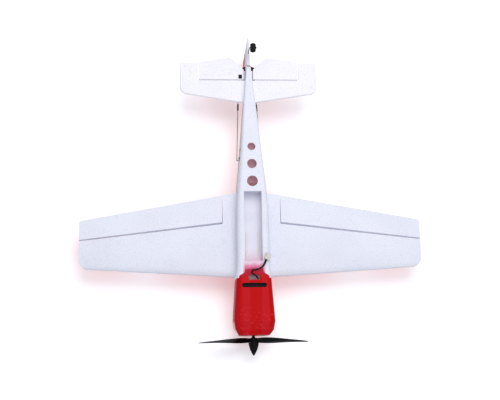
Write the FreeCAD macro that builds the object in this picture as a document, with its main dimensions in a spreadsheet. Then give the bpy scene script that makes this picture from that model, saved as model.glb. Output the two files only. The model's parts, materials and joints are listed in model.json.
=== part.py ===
import FreeCAD, Part
import math
import os
import re

import Sketcher
from FreeCAD import Placement, Rotation, Vector

# Aerobatic model monoplane of moulded foam with one electric motor in the nose.
# Millimetres. +X is the aeroplane's left, +Y runs aft and +Z is up.
# The origin is on the centreline, on the seat of the landing gear socket in the belly.

SIZES = {
    "span": 430,             # wing tip to wing tip
    "thrust": 24,            # height of the motor shaft
    "foam": 3,               # wall of the moulded fuselage
    "sheet": 1.2,            # wall of the moulded cowl and other thin plastic
    "fit": 0.05,             # radial clearance of everything that turns
    "gap": 0.3,              # half the slit between a control surface and its foam
    "bevel": 24,             # slope of a control surface's pointed front edge, degrees
    "film_half": 0.15,       # half the thickness of a hinge tab
    "root_lead": 10.2,       # wing leading edge on the centreline
    "root_trail": 122,       # wing trailing edge on the centreline
    "tip_lead": 23.7,        # the same two at the tip
    "tip_trail": 83.8,
    "root_thick": 12.5,
    "tip_thick": 6.6,
    "wing_level": 22,        # height of the wing's chord plane
    "root_hinge": 83.3,      # aileron hinge line on the centreline
    "tip_hinge": 58.5,
    "aileron_start": 36.5,   # inboard end of the aileron
    "lead_round": 12,        # plan radius of the wing tip's front corner
    "trail_round": 4,
    "spar_y": 30,
    "spar_half": 150,
    "spar_radius": 1.5,
    "tail_level": 26,        # height of the stabiliser's mid plane
    "tail_thick": 4,
    "tail_half": 88,
    "tail_root_lead": 235.2,
    "tail_tip_lead": 249,
    "tail_trail": 289.6,
    "elevator_hinge": 266.1,
    "elevator_half": 63.7,
    "elevator_trail": 296.5,
    "rudder_hinge": 284.6,
    "fin_thick": 4,
    "fin_top": 80,
    "rudder_foot": 20.5,
    "prop_radius": 68.5,
    "hub_y": -66.4,          # middle of the propeller hub
    "hub_radius": 4.4,
    "shaft_radius": 1,
    "spinner_tip": -85.5,
    "firewall_y": -33,
    "bell_radius": 11.5,
    "bay_half": 11,          # battery bay
    "bay_front": 29,
    "bay_back": 117,
    "bay_top": 13,
    "tray_wall": 0.8,
    "tape_half": 1.6,        # hook and loop strips on the bay's ceiling
    "tape_long": 36,
    "tape_thick": 0.5,
    "tape_x": 7.4,
    "slot_length": 31,       # landing gear socket
    "slot_width": 5.5,
    "gear_spacing": 20,
    "gear_hole": 0.8,
    "servo_y": 162,
    "elevator_servo_z": 20,
    "rudder_servo_z": 32,
    "flank_arm_x": 15,       # plane of the two arms beside the fuselage
    "elevator_arm": 10,
    "rudder_arm": 8,
    "aileron_arm": 8,
    "aileron_link": 34,      # distance from the servo shaft to the hinge
    "aileron_station": 62,   # where the aileron linkage stands along the hinge
    "servo_long": 17,
    "servo_thick": 8.2,
    "servo_tall": 14,
    "wire": 0.4,             # pushrod radius
    "arm_thick": 1,
    "joiner_radius": 0.9,    # bar between the elevators, on their hinge line
    "elevator_horn_x": 10.6,
    "rudder_rod_z": 42,
    "wheel_y": 303,
    "wheel_z": 2.5,
    "wheel_radius": 6,
    "wheel_x": -4.4,         # the tail wheel stands to the right of its leg
    "wheel_half": 3.3,
    "leg_radius": 0.5,       # wire of the tail wheel's leg and axle
    "film_long": 6,          # length of a hinge tab along its hinge
    "film_deep": 5,          # how far it reaches into the foam
    "canopy_half": 13,       # half axes of the canopy's dome, and its middle
    "canopy_long": 54,
    "canopy_tall": 20,
    "canopy_y": 82,
    "canopy_base": 43,
    "canopy_wall": 0.8,
    "shelf_top": 18,         # equipment shelf inside the hull
    "shelf_thick": 1.5,
    "mouth_radius": 4.5,     # round opening for the motor shaft
    "inlet_radius": 4,       # air inlet on each side of it
    "inlet_x": 11,
    "neck_reach": 7,         # how far aft of the joint the cowl's tongue narrows
    "window_half": 6.8,      # opening for the battery lead
    "window_front": 6.5,
    "window_back": 13,
    "mark_half": 3.9,        # small moulded rib ahead of the gear slot
    "mark_y": -6,
    "pitch": 90,             # propeller pitch
    "rake": 2.2,             # how far its tips stand ahead of its hub
}

# Fuselage outline: distance aft, half width, belly height and deck height.
STATIONS = {
    "nose": (-60.6, 19, 4, 39),
    "jowl": (-54.5, 23.8, 0.3, 43),
    "cheek": (-44, 25.7, -3, 45),
    "joint": (9, 21.7, -3, 46),
    "wing": (57, 20.1, -3, 49),
    "trail": (121, 17.8, -2.5, 48),
    "servo": (159, 14, 0.5, 44.5),
    "boom": (198, 10.7, 6.5, 40.5),
    "stab": (232.7, 7.6, 12, 36.5),
    "post": (283, 2.75, 19.5, 31),
}
COWL_STATIONS = ("nose", "jowl", "cheek", "joint")
HULL_STATIONS = ("joint", "wing", "trail", "servo", "boom", "stab", "post")
CAVITY_STATIONS = HULL_STATIONS[:-1]

# Belly vents behind the battery bay: distance aft and radius.
VENTS = ((130.1, 6.8), (152.4, 6.05), (174.9, 5.05))

UP = Vector(0, 0, 1)
AFT = Vector(0, 1, 0)
OUT = Vector(1, 0, 0)
FAR = 400                    # longer than any half of the aeroplane

doc = FreeCAD.newDocument("Aeroplane")
sheet = doc.addObject("Spreadsheet::Sheet", "Size")
pieces = []                  # every sub-part, in the order made


def add(kind, name):
    """A new sub-part of the document, labelled with its own name."""
    piece = doc.addObject(kind, name)
    piece.Label = name
    pieces.append(piece)
    return piece


def fill_sheet():
    """Writes every driving dimension into its own named cell."""
    cells = dict(SIZES)
    for name, values in STATIONS.items():
        for column, value in zip(("aft", "half", "low", "high"), values):
            cells[f"{name}_{column}"] = value
    for row, (name, value) in enumerate(cells.items(), start=1):
        sheet.set(f"A{row}", name.replace("_", " "))
        sheet.set(f"B{row}", str(value))
        sheet.setAlias(f"B{row}", name)
    doc.recompute()
    return tuple(cells)


NAMES = fill_sheet()


def bound(text):
    """Turns a formula in plain names into an expression that reads the sheet."""
    return re.sub(r"[a-z_]+", lambda w: f"Size.{w[0]}" if w[0] in NAMES else w[0], str(text))


def size(text):
    """The present value of a formula, in millimetres or degrees."""
    return float(sheet.evalExpression(bound(text)))


def place(piece, x="0", y="0", z="0", turn=Rotation()):
    """Puts a piece where three formulas say, after an optional turn."""
    piece.Placement = Placement(Vector(), turn)
    for axis, text in zip("xyz", (x, y, z)):
        piece.setExpression(f"Placement.Base.{axis}", bound(text))
    return piece


# ---- PartDesign bodies -------------------------------------------------------------------

def body(name):
    """An empty PartDesign body for one sub-part."""
    return add("PartDesign::Body", name)


def fix_point(sketch, kinds, geometry, point, texts):
    """Holds one sketch point at two formulas, measured from the sketch's origin."""
    for kind, text in zip(kinds, texts):
        index = sketch.addConstraint(Sketcher.Constraint(kind, -1, 1, geometry, point, size(text)))
        sketch.setExpression(f"Constraints[{index}]", bound(text))


def draw(piece, role, shapes, offset):
    """A sketch on an origin plane. A shape of three formulas is a circle, any other a polygon."""
    sketch = piece.newObject("Sketcher::SketchObject", f"{piece.Name}_sketch")
    plane = next(f for f in piece.Origin.OriginFeatures if f.Role == role)
    sketch.AttachmentSupport = (plane, [""])
    sketch.MapMode = "FlatFace"
    sketch.setExpression("AttachmentOffset.Base.z", bound(offset))
    for shape in shapes:
        if isinstance(shape[0], str):
            x, y, radius = shape
            ring = sketch.addGeometry(Part.Circle(Vector(size(x), size(y), 0), UP, size(radius)))
            fix_point(sketch, ("DistanceX", "DistanceY"), ring, 3, (x, y))
            index = sketch.addConstraint(Sketcher.Constraint("Radius", ring, size(radius)))
            sketch.setExpression(f"Constraints[{index}]", bound(radius))
            continue
        corners = [Vector(size(x), size(y), 0) for x, y in shape]
        first = sketch.GeometryCount
        for start, end in zip(corners, corners[1:] + corners[:1]):
            sketch.addGeometry(Part.LineSegment(start, end))
        for i, texts in enumerate(shape):
            after = first + (i + 1) % len(shape)
            sketch.addConstraint(Sketcher.Constraint("Coincident", first + i, 2, after, 1))
            fix_point(sketch, ("DistanceX", "DistanceY"), first + i, 1, texts)
    return sketch


# Each origin plane's name, and whether its normal points down its axis.
PLANES = {"X": ("YZ_Plane", False), "Y": ("XZ_Plane", True), "Z": ("XY_Plane", False)}


def pad(piece, axis, shapes, low, high):
    """Adds material between two heights along an axis."""
    role, backwards = PLANES[axis]
    start = f"-({high})" if backwards else low
    feature = piece.newObject("PartDesign::Pad", f"{piece.Name}_pad")
    feature.Profile = draw(piece, role, shapes, start)
    feature.setExpression("Length", bound(f"({high}) - ({low})"))
    doc.recompute()
    return piece


def pocket(piece, axis, shapes, low, high):
    """Removes material between two heights along an axis, and checks that some went."""
    role, backwards = PLANES[axis]
    before = piece.Shape.Volume
    start = f"-({low})" if backwards else high
    sketch = draw(piece, role, shapes, start)
    feature = piece.newObject("PartDesign::Pocket", f"{piece.Name}_pocket")
    feature.Profile = sketch
    feature.setExpression("Length", bound(f"({high}) - ({low})"))
    doc.recompute()
    if piece.Shape.Volume >= before:
        raise RuntimeError(f"a pocket in {piece.Label} removed nothing")
    return piece


def turned(name, profile):
    """A body turned about its own Y axis from a half profile of radius and height."""
    piece = body(name)
    feature = piece.newObject("PartDesign::Revolution", f"{name}_turn")
    sketch = draw(piece, "XY_Plane", [profile], "0")
    feature.Profile = sketch
    feature.ReferenceAxis = (sketch, ["V_Axis"])
    feature.Angle = 360
    doc.recompute()
    return piece


def block(x_low, x_high, y_low, y_high):
    """The corners of a rectangle."""
    return ((x_low, y_low), (x_high, y_low), (x_high, y_high), (x_low, y_high))


def around(half_x, half_y, x="0", y="0"):
    """The corners of a rectangle round a centre."""
    return block(f"{x} - ({half_x})", f"{x} + ({half_x})", f"{y} - ({half_y})", f"{y} + ({half_y})")


# ---- Shapes that no sketch describes -----------------------------------------------------

def feature(name, shape):
    """A sub-part whose shape is made here from the sheet's values."""
    piece = add("Part::Feature", name)
    piece.Shape = shape
    piece.Placement = shape.Placement
    return piece


def mirrored(shape):
    """The same shape on the other side of the aeroplane."""
    return shape.mirror(Vector(), OUT)


def both(name, shape):
    """A left piece and its mirror image on the right."""
    feature(f"{name}_left", shape)
    feature(f"{name}_right", mirrored(shape))


def box(x_low, x_high, y_low, y_high, z_low, z_high):
    """A plain box between two corners."""
    corner = Vector(x_low, y_low, z_low)
    return Part.makeBox(x_high - x_low, y_high - y_low, z_high - z_low, corner)


def prism(points, low, high, axis=UP):
    """A straight-sided solid over an outline in the two axes across the given one."""
    if axis == UP:
        corners = [Vector(x, y, low) for x, y in points]
    elif axis == OUT:
        corners = [Vector(low, y, z) for y, z in points]
    else:
        corners = [Vector(x, low, z) for x, z in points]
    return Part.Face(Part.makePolygon(corners + corners[:1])).extrude(axis * (high - low))


def rounded(solid, radius, corner):
    """Rounds the upright edge that stands nearest to a corner given as x and y."""
    upright = [e for e in solid.Edges if abs(e.tangentAt(e.FirstParameter).z) > 0.99]
    spot = Vector(*corner, 0)
    edge = min(upright, key=lambda e: (Vector(e.CenterOfMass.x, e.CenterOfMass.y, 0) - spot).Length)
    return solid.makeFillet(radius, [edge])


def wire_rod(points, radius):
    """A wire bent at each point of a path, with square ends."""
    ring = Part.Circle(points[0], points[1] - points[0], radius)
    round_corners = 2
    path = Part.makePolygon(points)
    return path.makePipeShell([Part.Wire([ring.toShape()])], True, False, round_corners)


def cable(points, radius):
    """A soft round cable through a row of points."""
    curve = Part.BSplineCurve()
    curve.interpolate(points)
    path = Part.Wire([curve.toShape()])
    ring = Part.Circle(points[0], curve.tangent(curve.FirstParameter)[0], radius)
    return path.makePipeShell([Part.Wire([ring.toShape()])], True, True)


LOW_ROUND = 0.3              # lower corner radius as a share of the half width
HIGH_ROUND = 0.8             # the same for the deck


def section(name, shrink=0):
    """The rounded outline of the fuselage at one station, moved inwards by a wall."""
    aft, half, low, high = (size(f"{name}_{part}") for part in ("aft", "half", "low", "high"))
    half, low, high = half - shrink, low + shrink, high - shrink
    edges = []
    corners = []
    for side, height, share in ((1, low, LOW_ROUND), (1, high, HIGH_ROUND),
                                (-1, high, HIGH_ROUND), (-1, low, LOW_ROUND)):
        radius = share * half
        inward = 1 if height == low else -1
        centre = Vector(side * (half - radius), aft, height + inward * radius)
        flat = centre + Vector(0, 0, -inward * radius)
        upright = centre + Vector(side * radius, 0, 0)
        middle = centre + Vector(side, 0, -inward) * (radius / math.sqrt(2))
        corners.append((flat, middle, upright) if side * inward > 0 else (upright, middle, flat))
    for i, (start, middle, end) in enumerate(corners):
        edges.append(Part.Arc(start, middle, end).toShape())
        edges.append(Part.LineSegment(end, corners[(i + 1) % 4][0]).toShape())
    return Part.Wire(edges)


def loft(names, shrink=0, ruled=False):
    """A solid through the fuselage outline at several stations."""
    return Part.makeLoft([section(name, shrink) for name in names], True, ruled)


def slot(length, width, y, low, high):
    """A round-ended slot across the aeroplane."""
    half = (length - width) / 2
    cut = box(-half, half, y - width / 2, y + width / 2, low, high)
    for side in (-half, half):
        cut = cut.fuse(Part.makeCylinder(width / 2, high - low, Vector(side, y, low)))
    return cut.removeSplitter()


# ---- Fuselage and cowl -------------------------------------------------------------------

hull = loft(HULL_STATIONS)
bay_half = size("bay_half")
bay_front = size("bay_front")
bay_top = size("bay_top")
joint_aft = size("joint_aft")
neck_half = bay_half + 0.5
belly = size("joint_low")
sheet_wall = size("sheet")
thrust = size("thrust")
cavity = loft(CAVITY_STATIONS, size("foam"))
inside_cowl = loft(COWL_STATIONS, sheet_wall, True)

# The cowl ends in a tongue under the belly that narrows to the neck of the battery bay.
shoulder_half = size("joint_half")
narrow_aft = joint_aft + size("neck_reach")
tongue_outline = ((-shoulder_half - 1, joint_aft), (shoulder_half + 1, joint_aft),
                  (neck_half, narrow_aft), (neck_half, bay_front),
                  (-neck_half, bay_front), (-neck_half, narrow_aft))
tongue = hull.common(prism(tongue_outline, belly, belly + sheet_wall))

# A small window in the neck lets the battery lead out.
window_half = size("window_half")
window = box(-window_half, window_half, size("window_front"), size("window_back"), belly - 1, belly + 8)


def make_cowl():
    """A thin shell round the motor with a round mouth, two air inlets and a belly tongue."""
    shell = loft(COWL_STATIONS, 0, True).cut(inside_cowl)
    plate = Part.Face(section("nose")).extrude(AFT * sheet_wall)
    shell = shell.fuse(plate)
    inlet_x = size("inlet_x")
    openings = ((0, size("mouth_radius")), (-inlet_x, size("inlet_radius")), (inlet_x, size("inlet_radius")))
    for x, radius in openings:
        spot = Vector(x, size("nose_aft - sheet"), thrust)
        shell = shell.cut(Part.makeCylinder(radius, 3 * sheet_wall, spot, AFT))
    shell = shell.fuse(tongue).cut(window)
    gear = slot(size("slot_length"), size("slot_width"), 0, belly - 1, belly + 5)
    rib_half, rib_y = size("mark_half"), size("mark_y")
    rib = box(-rib_half, rib_half, rib_y - 0.5, rib_y + 0.5, belly - 0.35, belly + sheet_wall / 2)
    return shell.cut(gear).fuse(rib).removeSplitter()


# A servo's own frame: its shaft runs along X, outwards, through the plane of its arm.
face = 2.2                   # from the arm's plane back to the servo's case
ear = 5                      # from the arm's plane back to the mounting ears
ear_thick = 1.2
ear_reach = 3                # how far each ear stands out
case_front = 4.1             # from the shaft to the near end of the case


def framed(shape, frame):
    """A copy of a shape, moved to a frame."""
    moved = shape.copy()
    moved.Placement = frame.multiply(moved.Placement)
    return moved


def servo_room(high=None):
    """The space of a servo's case and ears, or with a height, a pocket open to above."""
    half = size("servo_thick / 2")
    end = size("servo_long") - case_front
    high = half if high is None else high
    case = box(-face - size("servo_tall"), -face, -case_front, end, -half, high)
    ears = box(-ear - ear_thick, -ear, -case_front - ear_reach, end + ear_reach, -half, high)
    return case.fuse([ears, Part.makeCylinder(3, face, Vector(-face, 0, 0), OUT)])


def servo_screws():
    """Two small screws through the ears."""
    screws = []
    for y in (-case_front - ear_reach / 2, size("servo_long") - case_front + ear_reach / 2):
        shank = Part.makeCylinder(0.6, 4.4, Vector(-ear - ear_thick, y, 0), OUT)
        screws.append(shank.fuse(Part.makeCylinder(1.1, 1, Vector(-ear - ear_thick - 1, y, 0), OUT)))
    return Part.makeCompound(screws)


def flank_frame(side, level):
    """Where a servo stands against one flank. The right one is turned about to face outwards."""
    spot = Vector(side * size("flank_arm_x"), size("servo_y"), level)
    return Placement(spot, Rotation() if side > 0 else Rotation(UP, 180))


FLANK_FRAMES = (flank_frame(1, size("elevator_servo_z")), flank_frame(-1, size("rudder_servo_z")))


def joiner_bore():
    """Room for the bar that joins the elevators through the boom."""
    spot = Vector(-9, size("elevator_hinge"), size("tail_level"))
    return Part.makeCylinder(size("joiner_radius + fit"), 18, spot, OUT)


def make_fuselage():
    """A hollow foam hull with the battery bay, the vents and the slots for what it carries."""
    shell = hull.cut(cavity).cut(tongue).cut(window)
    bay_wall = size("bay_half + tray_wall")
    shell = shell.cut(box(-bay_wall, bay_wall, bay_front, size("bay_back + tray_wall"), belly - 5, bay_top))
    for aft, radius in VENTS:
        shell = shell.cut(Part.makeCylinder(radius, 20, Vector(0, aft, -10)))
    for frame in FLANK_FRAMES:
        shell = shell.cut(framed(servo_room(), frame)).cut(framed(servo_screws(), frame))
    spar_spot = Vector(-FAR, size("spar_y"), size("wing_level"))
    shell = shell.cut(Part.makeCylinder(size("spar_radius"), 2 * FAR, spar_spot, OUT))
    # The stabiliser and the bar that joins the elevators both cross the boom.
    half = size("tail_thick / 2")
    level = size("tail_level")
    tail = box(-20, 20, size("tail_root_lead"), size("elevator_hinge - gap"), level - half, level + half)
    return shell.cut(tail).cut(joiner_bore())


fuselage = make_fuselage()
left_side = box(0, FAR, -FAR, FAR, -FAR, FAR)
feature("fuselage_left", fuselage.common(left_side))
feature("fuselage_right", fuselage.common(mirrored(left_side)))
feature("cowl", make_cowl())


def make_canopy():
    """A thin dome seated on the deck."""
    def dome(wall):
        half_axes = [size(name) - wall for name in ("canopy_half", "canopy_long", "canopy_tall")]
        shape = FreeCAD.Matrix()
        shape.scale(*half_axes)
        shape.move(Vector(0, size("canopy_y"), size("canopy_base")))
        return Part.makeSphere(1).transformGeometry(shape)
    return dome(0).cut(dome(size("canopy_wall"))).cut(hull)


feature("canopy", make_canopy())

# ---- Battery bay and landing gear socket ---------------------------------------------------

tray_outer = block("-bay_half - tray_wall", "bay_half + tray_wall", "bay_front", "bay_back + tray_wall")
tray_inner = block("-bay_half", "bay_half", "bay_front + tray_wall", "bay_back")
tray = pad(body("battery_tray"), "Z", [tray_outer], "joint_low + 0.4", "bay_top")
pocket(tray, "Z", [tray_inner], "joint_low + 0.4", "bay_top - tray_wall")

strips = [around("tape_half", "tape_long / 2", side + "tape_x", "bay_front + 20") for side in ("-", "")]
pad(body("battery_tape"), "Z", strips, "bay_top - tray_wall - tape_thick", "bay_top - tray_wall")

socket_top = "4.5"
socket = pad(body("gear_socket"), "Z", [around("slot_length / 2 + 1.4", "slot_width / 2 + 1.6")],
             "joint_low + sheet + 0.7", socket_top)
slot_flat = "(slot_length - slot_width) / 2"
slot_ends = [(side + slot_flat, "0", "slot_width / 2") for side in ("-", "")]
screw_holes = [(side + "gear_spacing / 2", "0", "gear_hole") for side in ("-", "")]
pocket(socket, "Z", [around(slot_flat, "slot_width / 2")], "joint_low", "0")
pocket(socket, "Z", slot_ends, "joint_low", "0")
pocket(socket, "Z", screw_holes, "0", socket_top)

# ---- Equipment inside the hull -------------------------------------------------------------

shelf_slab = box(-FAR, FAR, 34, 120, size("shelf_top - shelf_thick"), size("shelf_top"))
feature("equipment_shelf", cavity.common(shelf_slab))
receiver_y = "78"
pad(body("receiver_pad"), "Z", [around("8", "12", "0", receiver_y)], "shelf_top", "shelf_top + 1")
board = pad(body("receiver_board"), "Z", [around("11", "16", "0", receiver_y)],
            "shelf_top + 1", "shelf_top + 2.2")
chip = around("4", "4", "0", f"{receiver_y} - 4")
socket_row = around("9", "2", "0", f"{receiver_y} + 13")
pad(board, "Z", [chip], "shelf_top + 2.2", "shelf_top + 3.4")
pad(board, "Z", [socket_row], "shelf_top + 2.2", "shelf_top + 6")
pad(body("speed_controller"), "Z", [block("-7", "7", "firewall_y + 3", "firewall_y + 27")], "14", "19")
antenna_path = [Vector(-7, 94, 20), Vector(-7, 104, 21), Vector(-8, 120, 25), Vector(-7, 138, 29)]
feature("antenna", cable(antenna_path, 0.5))

# The lead leaves through the window, doubles back over the neck and hangs to the right.
lead_path = [Vector(0, -5.4, 16), Vector(-3.5, 3, 12), Vector(-5, 8, 3), Vector(-2, 11, -4.3),
             Vector(2.8, 14.8, -4.8), Vector(1.6, 18.4, -4.8), Vector(-5.6, 19.8, -4.8),
             Vector(-11.2, 23.6, -5), Vector(-15, 31, -5.2)]
feature("battery_lead", cable(lead_path, 1))
plug = pad(body("battery_plug"), "Y", [around("3.5", "2")], "0", "8")
pocket(plug, "Y", [around("1.1", "1", side + "1.7") for side in ("-", "")], "1.5", "8")
pocket(plug, "Y", [("0", "0", "1")], "0", "1.5")
place(plug, "-15.2", "31.2", "-5.2", Rotation(UP, 24))

# ---- Motor and propeller -------------------------------------------------------------------

firewall_y = size("firewall_y")
SCREW_CIRCLE = 6             # radius of the motor's four screws
screws = []
for quarter in range(4):
    angle = math.radians(45 + 90 * quarter)
    spot = Vector(SCREW_CIRCLE * math.cos(angle), firewall_y - 3, thrust + SCREW_CIRCLE * math.sin(angle))
    shank = Part.makeCylinder(0.8, 6, spot, AFT)
    head = Part.makeCylinder(1.5, 1, spot, AFT)
    screws.append(shank.fuse(head).removeSplitter())
screw_group = Part.makeCompound(screws)
wire_slot = box(-5, 5, firewall_y - 1, firewall_y + 4, 10.5, 14)
shaft_room = Part.makeCylinder(2, 10, Vector(0, firewall_y - 1, thrust), AFT)
wall = inside_cowl.common(box(-FAR, FAR, firewall_y, firewall_y + 3, -FAR, FAR))
feature("firewall", wall.cut(wire_slot).cut(screw_group).cut(shaft_room))
feature("motor_screws", screw_group)

stator = turned("motor_stator", (("2.6", "0"), ("8.5", "0"), ("8.5", "-2"), ("4.2", "-2"),
                                 ("4.2", "-4.5"), ("9.8", "-4.5"), ("9.8", "-14.5"), ("3.6", "-14.5"),
                                 ("3.6", "-16"), ("2.6", "-16")))
diagonal = f"{SCREW_CIRCLE} * sqrt(0.5)"
screw_holes = [(x + diagonal, z + diagonal, "0.8") for x in ("-", "") for z in ("-", "")]
pocket(stator, "Y", screw_holes, "-2", "0")
place(stator, y="firewall_y", z="thrust")
bearings = []
for back in (0, -14):
    spot = Vector(0, firewall_y + back - 2, thrust)
    ring = Part.makeCylinder(2.6, 2, spot, AFT)
    bearings.append(ring.cut(Part.makeCylinder(size("shaft_radius + fit"), 2, spot, AFT)))
feature("motor_bearings", Part.makeCompound(bearings))
bell = turned("motor_bell", (("shaft_radius", "-16.6"), ("10.6", "-16.6"), ("10.6", "-4"),
                             ("bell_radius", "-4"), ("bell_radius", "-17"), ("9.5", "-18.4"),
                             ("3", "-18.4"), ("3", "-20"), ("shaft_radius", "-20")))
place(bell, y="firewall_y", z="thrust")
shaft = turned("motor_shaft", (("0", "spinner_tip + 13"), ("shaft_radius", "spinner_tip + 13"),
                               ("shaft_radius", "firewall_y"), ("0", "firewall_y")))
place(shaft, z="thrust")
hub_front = "hub_y - 3"
spinner = turned("spinner", (("shaft_radius", hub_front), ("6.5", hub_front), ("6.2", "hub_y - 6"),
                             ("4.8", "hub_y - 11"), ("2.4", "hub_y - 16"), ("0.8", "spinner_tip + 0.6"),
                             ("0", "spinner_tip"), ("0", "spinner_tip + 13"),
                             ("shaft_radius", "spinner_tip + 13")))
place(spinner, z="thrust")


def blade_section(radius, chord, thick):
    """A lens-shaped blade section, set at the angle that its radius needs, raked forward outboard."""
    angle = math.atan(size("pitch") / (2 * math.pi * max(radius, 12)))
    along = Vector(0, math.sin(angle), math.cos(angle))
    across = Vector(0, -math.cos(angle), math.sin(angle))
    forward = size("rake") * (radius / size("prop_radius")) ** 2
    middle = Vector(radius, size("hub_y") - forward, thrust)
    lead, trail = middle + along * (chord / 2), middle - along * (chord / 2)
    front = Part.Arc(lead, middle + across * thick, trail)
    back = Part.Arc(trail, middle - across * (thick / 4), lead)
    return Part.Wire([front.toShape(), back.toShape()])


# Blade sections: share of the radius, chord and thickness.
BLADE = ((0.03, 6, 2.2), (0.2, 9.5, 1.8), (0.42, 13.2, 1.4), (0.7, 11.3, 1), (0.92, 7.4, 0.7), (1, 3, 0.5))
HUB_LONG = 6


def make_propeller():
    """A hub with two blades, widest halfway out."""
    reach = size("prop_radius")
    sections = [blade_section(reach * share, chord, thick) for share, chord, thick in BLADE]
    blade = Part.makeLoft(sections, True, False)
    other = blade.copy()
    other.rotate(Vector(0, 0, thrust), AFT, 180)
    spot = Vector(0, size(hub_front), thrust)
    hub = Part.makeCylinder(size("hub_radius"), HUB_LONG, spot, AFT)
    back = Part.makeCone(2.8, 1.4, 2.4, spot + AFT * HUB_LONG, AFT)
    bore = Part.makeCylinder(size("shaft_radius"), 20, spot - AFT * 5, AFT)
    return hub.fuse([back, blade, other]).cut(bore)


feature("propeller", make_propeller())
wires = []
for x in (-3, 0, 3):
    route = ((-3.6, 15.5), (-1.5, 12.8), (2, 12.2), (7, 12.2), (9, 13.3))
    wires.append(cable([Vector(x, firewall_y + y, z) for y, z in route], 0.7))
feature("motor_wires", Part.makeCompound(wires))

# ---- Wing ----------------------------------------------------------------------------------

half_span = size("span / 2")
wing_level = size("wing_level")


def along_span(x, name):
    """A wing dimension at a distance from the centreline, straight from root to tip."""
    return size(f"root_{name}") + (size(f"tip_{name}") - size(f"root_{name}")) * x / half_span


def half_depth(share, thick):
    """Half the depth of a symmetrical aerofoil at a share of its chord, with a blunt trailing edge."""
    series = 0.2969 * math.sqrt(share) - 0.1260 * share - 0.3516 * share ** 2
    series += 0.2843 * share ** 3 - 0.1036 * share ** 4
    return 5 * thick * series + 0.6 * share


def wing_section(x):
    """The aerofoil at one station along the span."""
    lead = along_span(x, "lead")
    chord = along_span(x, "trail") - lead
    steps = 9
    upper = []
    for i in range(steps + 1):
        share = (1 - math.cos(math.pi * i / steps)) / 2
        depth = half_depth(share, along_span(x, "thick"))
        upper.append(Vector(x, lead + share * chord, wing_level + depth))
    lower = [Vector(p.x, p.y, 2 * wing_level - p.z) for p in upper[1:]]
    curve = Part.BSplineCurve()
    curve.interpolate(upper[::-1] + lower)
    return Part.Wire([curve.toShape(), Part.LineSegment(lower[-1], upper[-1]).toShape()])


def hinge_point(x):
    """The aileron hinge line at a distance from the centreline."""
    return Vector(x, along_span(x, "hinge"), wing_level)


start = size("aileron_start")
gap = size("gap")
slope = math.tan(math.radians(size("bevel")))
swept = (hinge_point(half_span) - hinge_point(0)).normalize()
linkage = hinge_point(size("aileron_station"))
# The left linkage's own frame: X out along the hinge, Y aft across it, Z up.
left_frame = Placement(linkage, Rotation(swept, UP.cross(swept), UP, "XZY"))


def slit(depth=15):
    """The gap at a hinge: square on the wing's side, pointed on the control surface's side."""
    back = gap + depth * slope
    points = ((-gap, -depth), (back, -depth), (gap, 0), (back, depth), (-gap, depth))
    cut = prism(points, -FAR, FAR, OUT)
    cut.Placement = left_frame
    return cut.common(box(start, FAR, -FAR, FAR, -FAR, FAR))


def make_wing():
    """The left panel and its aileron, cut from one tapered wing."""
    tip = half_span
    panel = Part.makeLoft([wing_section(0), wing_section(tip + 2)], True, True)
    corners = ((0, size("root_lead") - 1), (tip, size("tip_lead") - 0.05),
               (tip, size("tip_trail") + 0.05), (0, size("root_trail") + 1))
    plan = prism(corners, 0, 2 * wing_level)
    plan = rounded(plan, size("lead_round"), (tip, size("tip_lead")))
    plan = rounded(plan, size("trail_round"), (tip, size("tip_trail")))
    panel = panel.common(plan)
    end = hinge_point(FAR)
    inner = hinge_point(start)
    region = prism([(inner.x, inner.y), (end.x, end.y), (end.x, FAR), (inner.x, FAR)], 0, 2 * wing_level)
    moved = region.common(box(start + 2 * gap, FAR, -FAR, FAR, -FAR, FAR))
    groove = slit()
    return panel.cut(region).cut(groove).cut(hull), panel.common(moved).cut(groove)


wing, aileron = make_wing()
left_servo_frame = left_frame.multiply(Placement(Vector(0, -size("aileron_link"), 0), Rotation()))
arm_room = box(-face, 1.9, -5.5, 5.5, -3.2, 30)
well = framed(servo_room(30).fuse(arm_room), left_servo_frame)
wing_screws = framed(servo_screws(), left_servo_frame)
spar = Part.makeCylinder(size("spar_radius"), size("2 * spar_half"),
                         Vector(-size("spar_half"), size("spar_y"), wing_level), OUT)


def hinge_tab(along, across, level):
    """A thin tab let into the foam ahead of a hinge line."""
    half, film = size("film_long / 2"), size("film_half")
    return box(along - half, along + half, across - size("film_deep"), across, level - film, level + film)


TAB_SPOTS = (-20, 56, 132)   # distances along the aileron's hinge from the linkage
aileron_tabs = Part.makeCompound([framed(hinge_tab(spot, 0, 0), left_frame) for spot in TAB_SPOTS])
wing = wing.cut(well).cut(wing_screws).cut(spar).cut(aileron_tabs)
both("wing", wing)
both("aileron_hinges", aileron_tabs)
feature("wing_spar", spar)

HORN_FRONT = 2.2             # from a hinge line back to the front of its horn
HORN_LONG = 5
HORN_HALF = 2.2


def horn_blade(reach, foot, back, x, y, z):
    """An upright horn whose hole stands straight over the hinge."""
    head = 1.3
    top = reach + head * 0.6
    outline = [(back, foot - 0.2), (back + HORN_LONG, foot - 0.2), (head, top), (-head, top),
               (-head, reach - head)]
    blade = prism(outline, -size("arm_thick") / 2, size("arm_thick") / 2, OUT)
    hole = Part.makeCylinder(size("wire + fit"), 4, Vector(-2, 0, reach), OUT)
    blade = blade.cut(hole)
    blade.translate(Vector(x, y, z))
    return blade


def make_aileron_horn():
    """A horn on the aileron's upper skin, in the linkage's frame."""
    skin = half_depth(0.65, along_span(linkage.x, "thick"))
    plate = box(-HORN_HALF, HORN_HALF, HORN_FRONT, HORN_FRONT + HORN_LONG, skin - 1, skin + 0.3)
    return plate.fuse(horn_blade(size("aileron_arm"), skin - 0.6, HORN_FRONT, 0, 0, 0))


aileron_horn = framed(make_aileron_horn(), left_frame)
both("aileron", aileron.cut(aileron_horn))
both("aileron_horn", aileron_horn)

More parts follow.
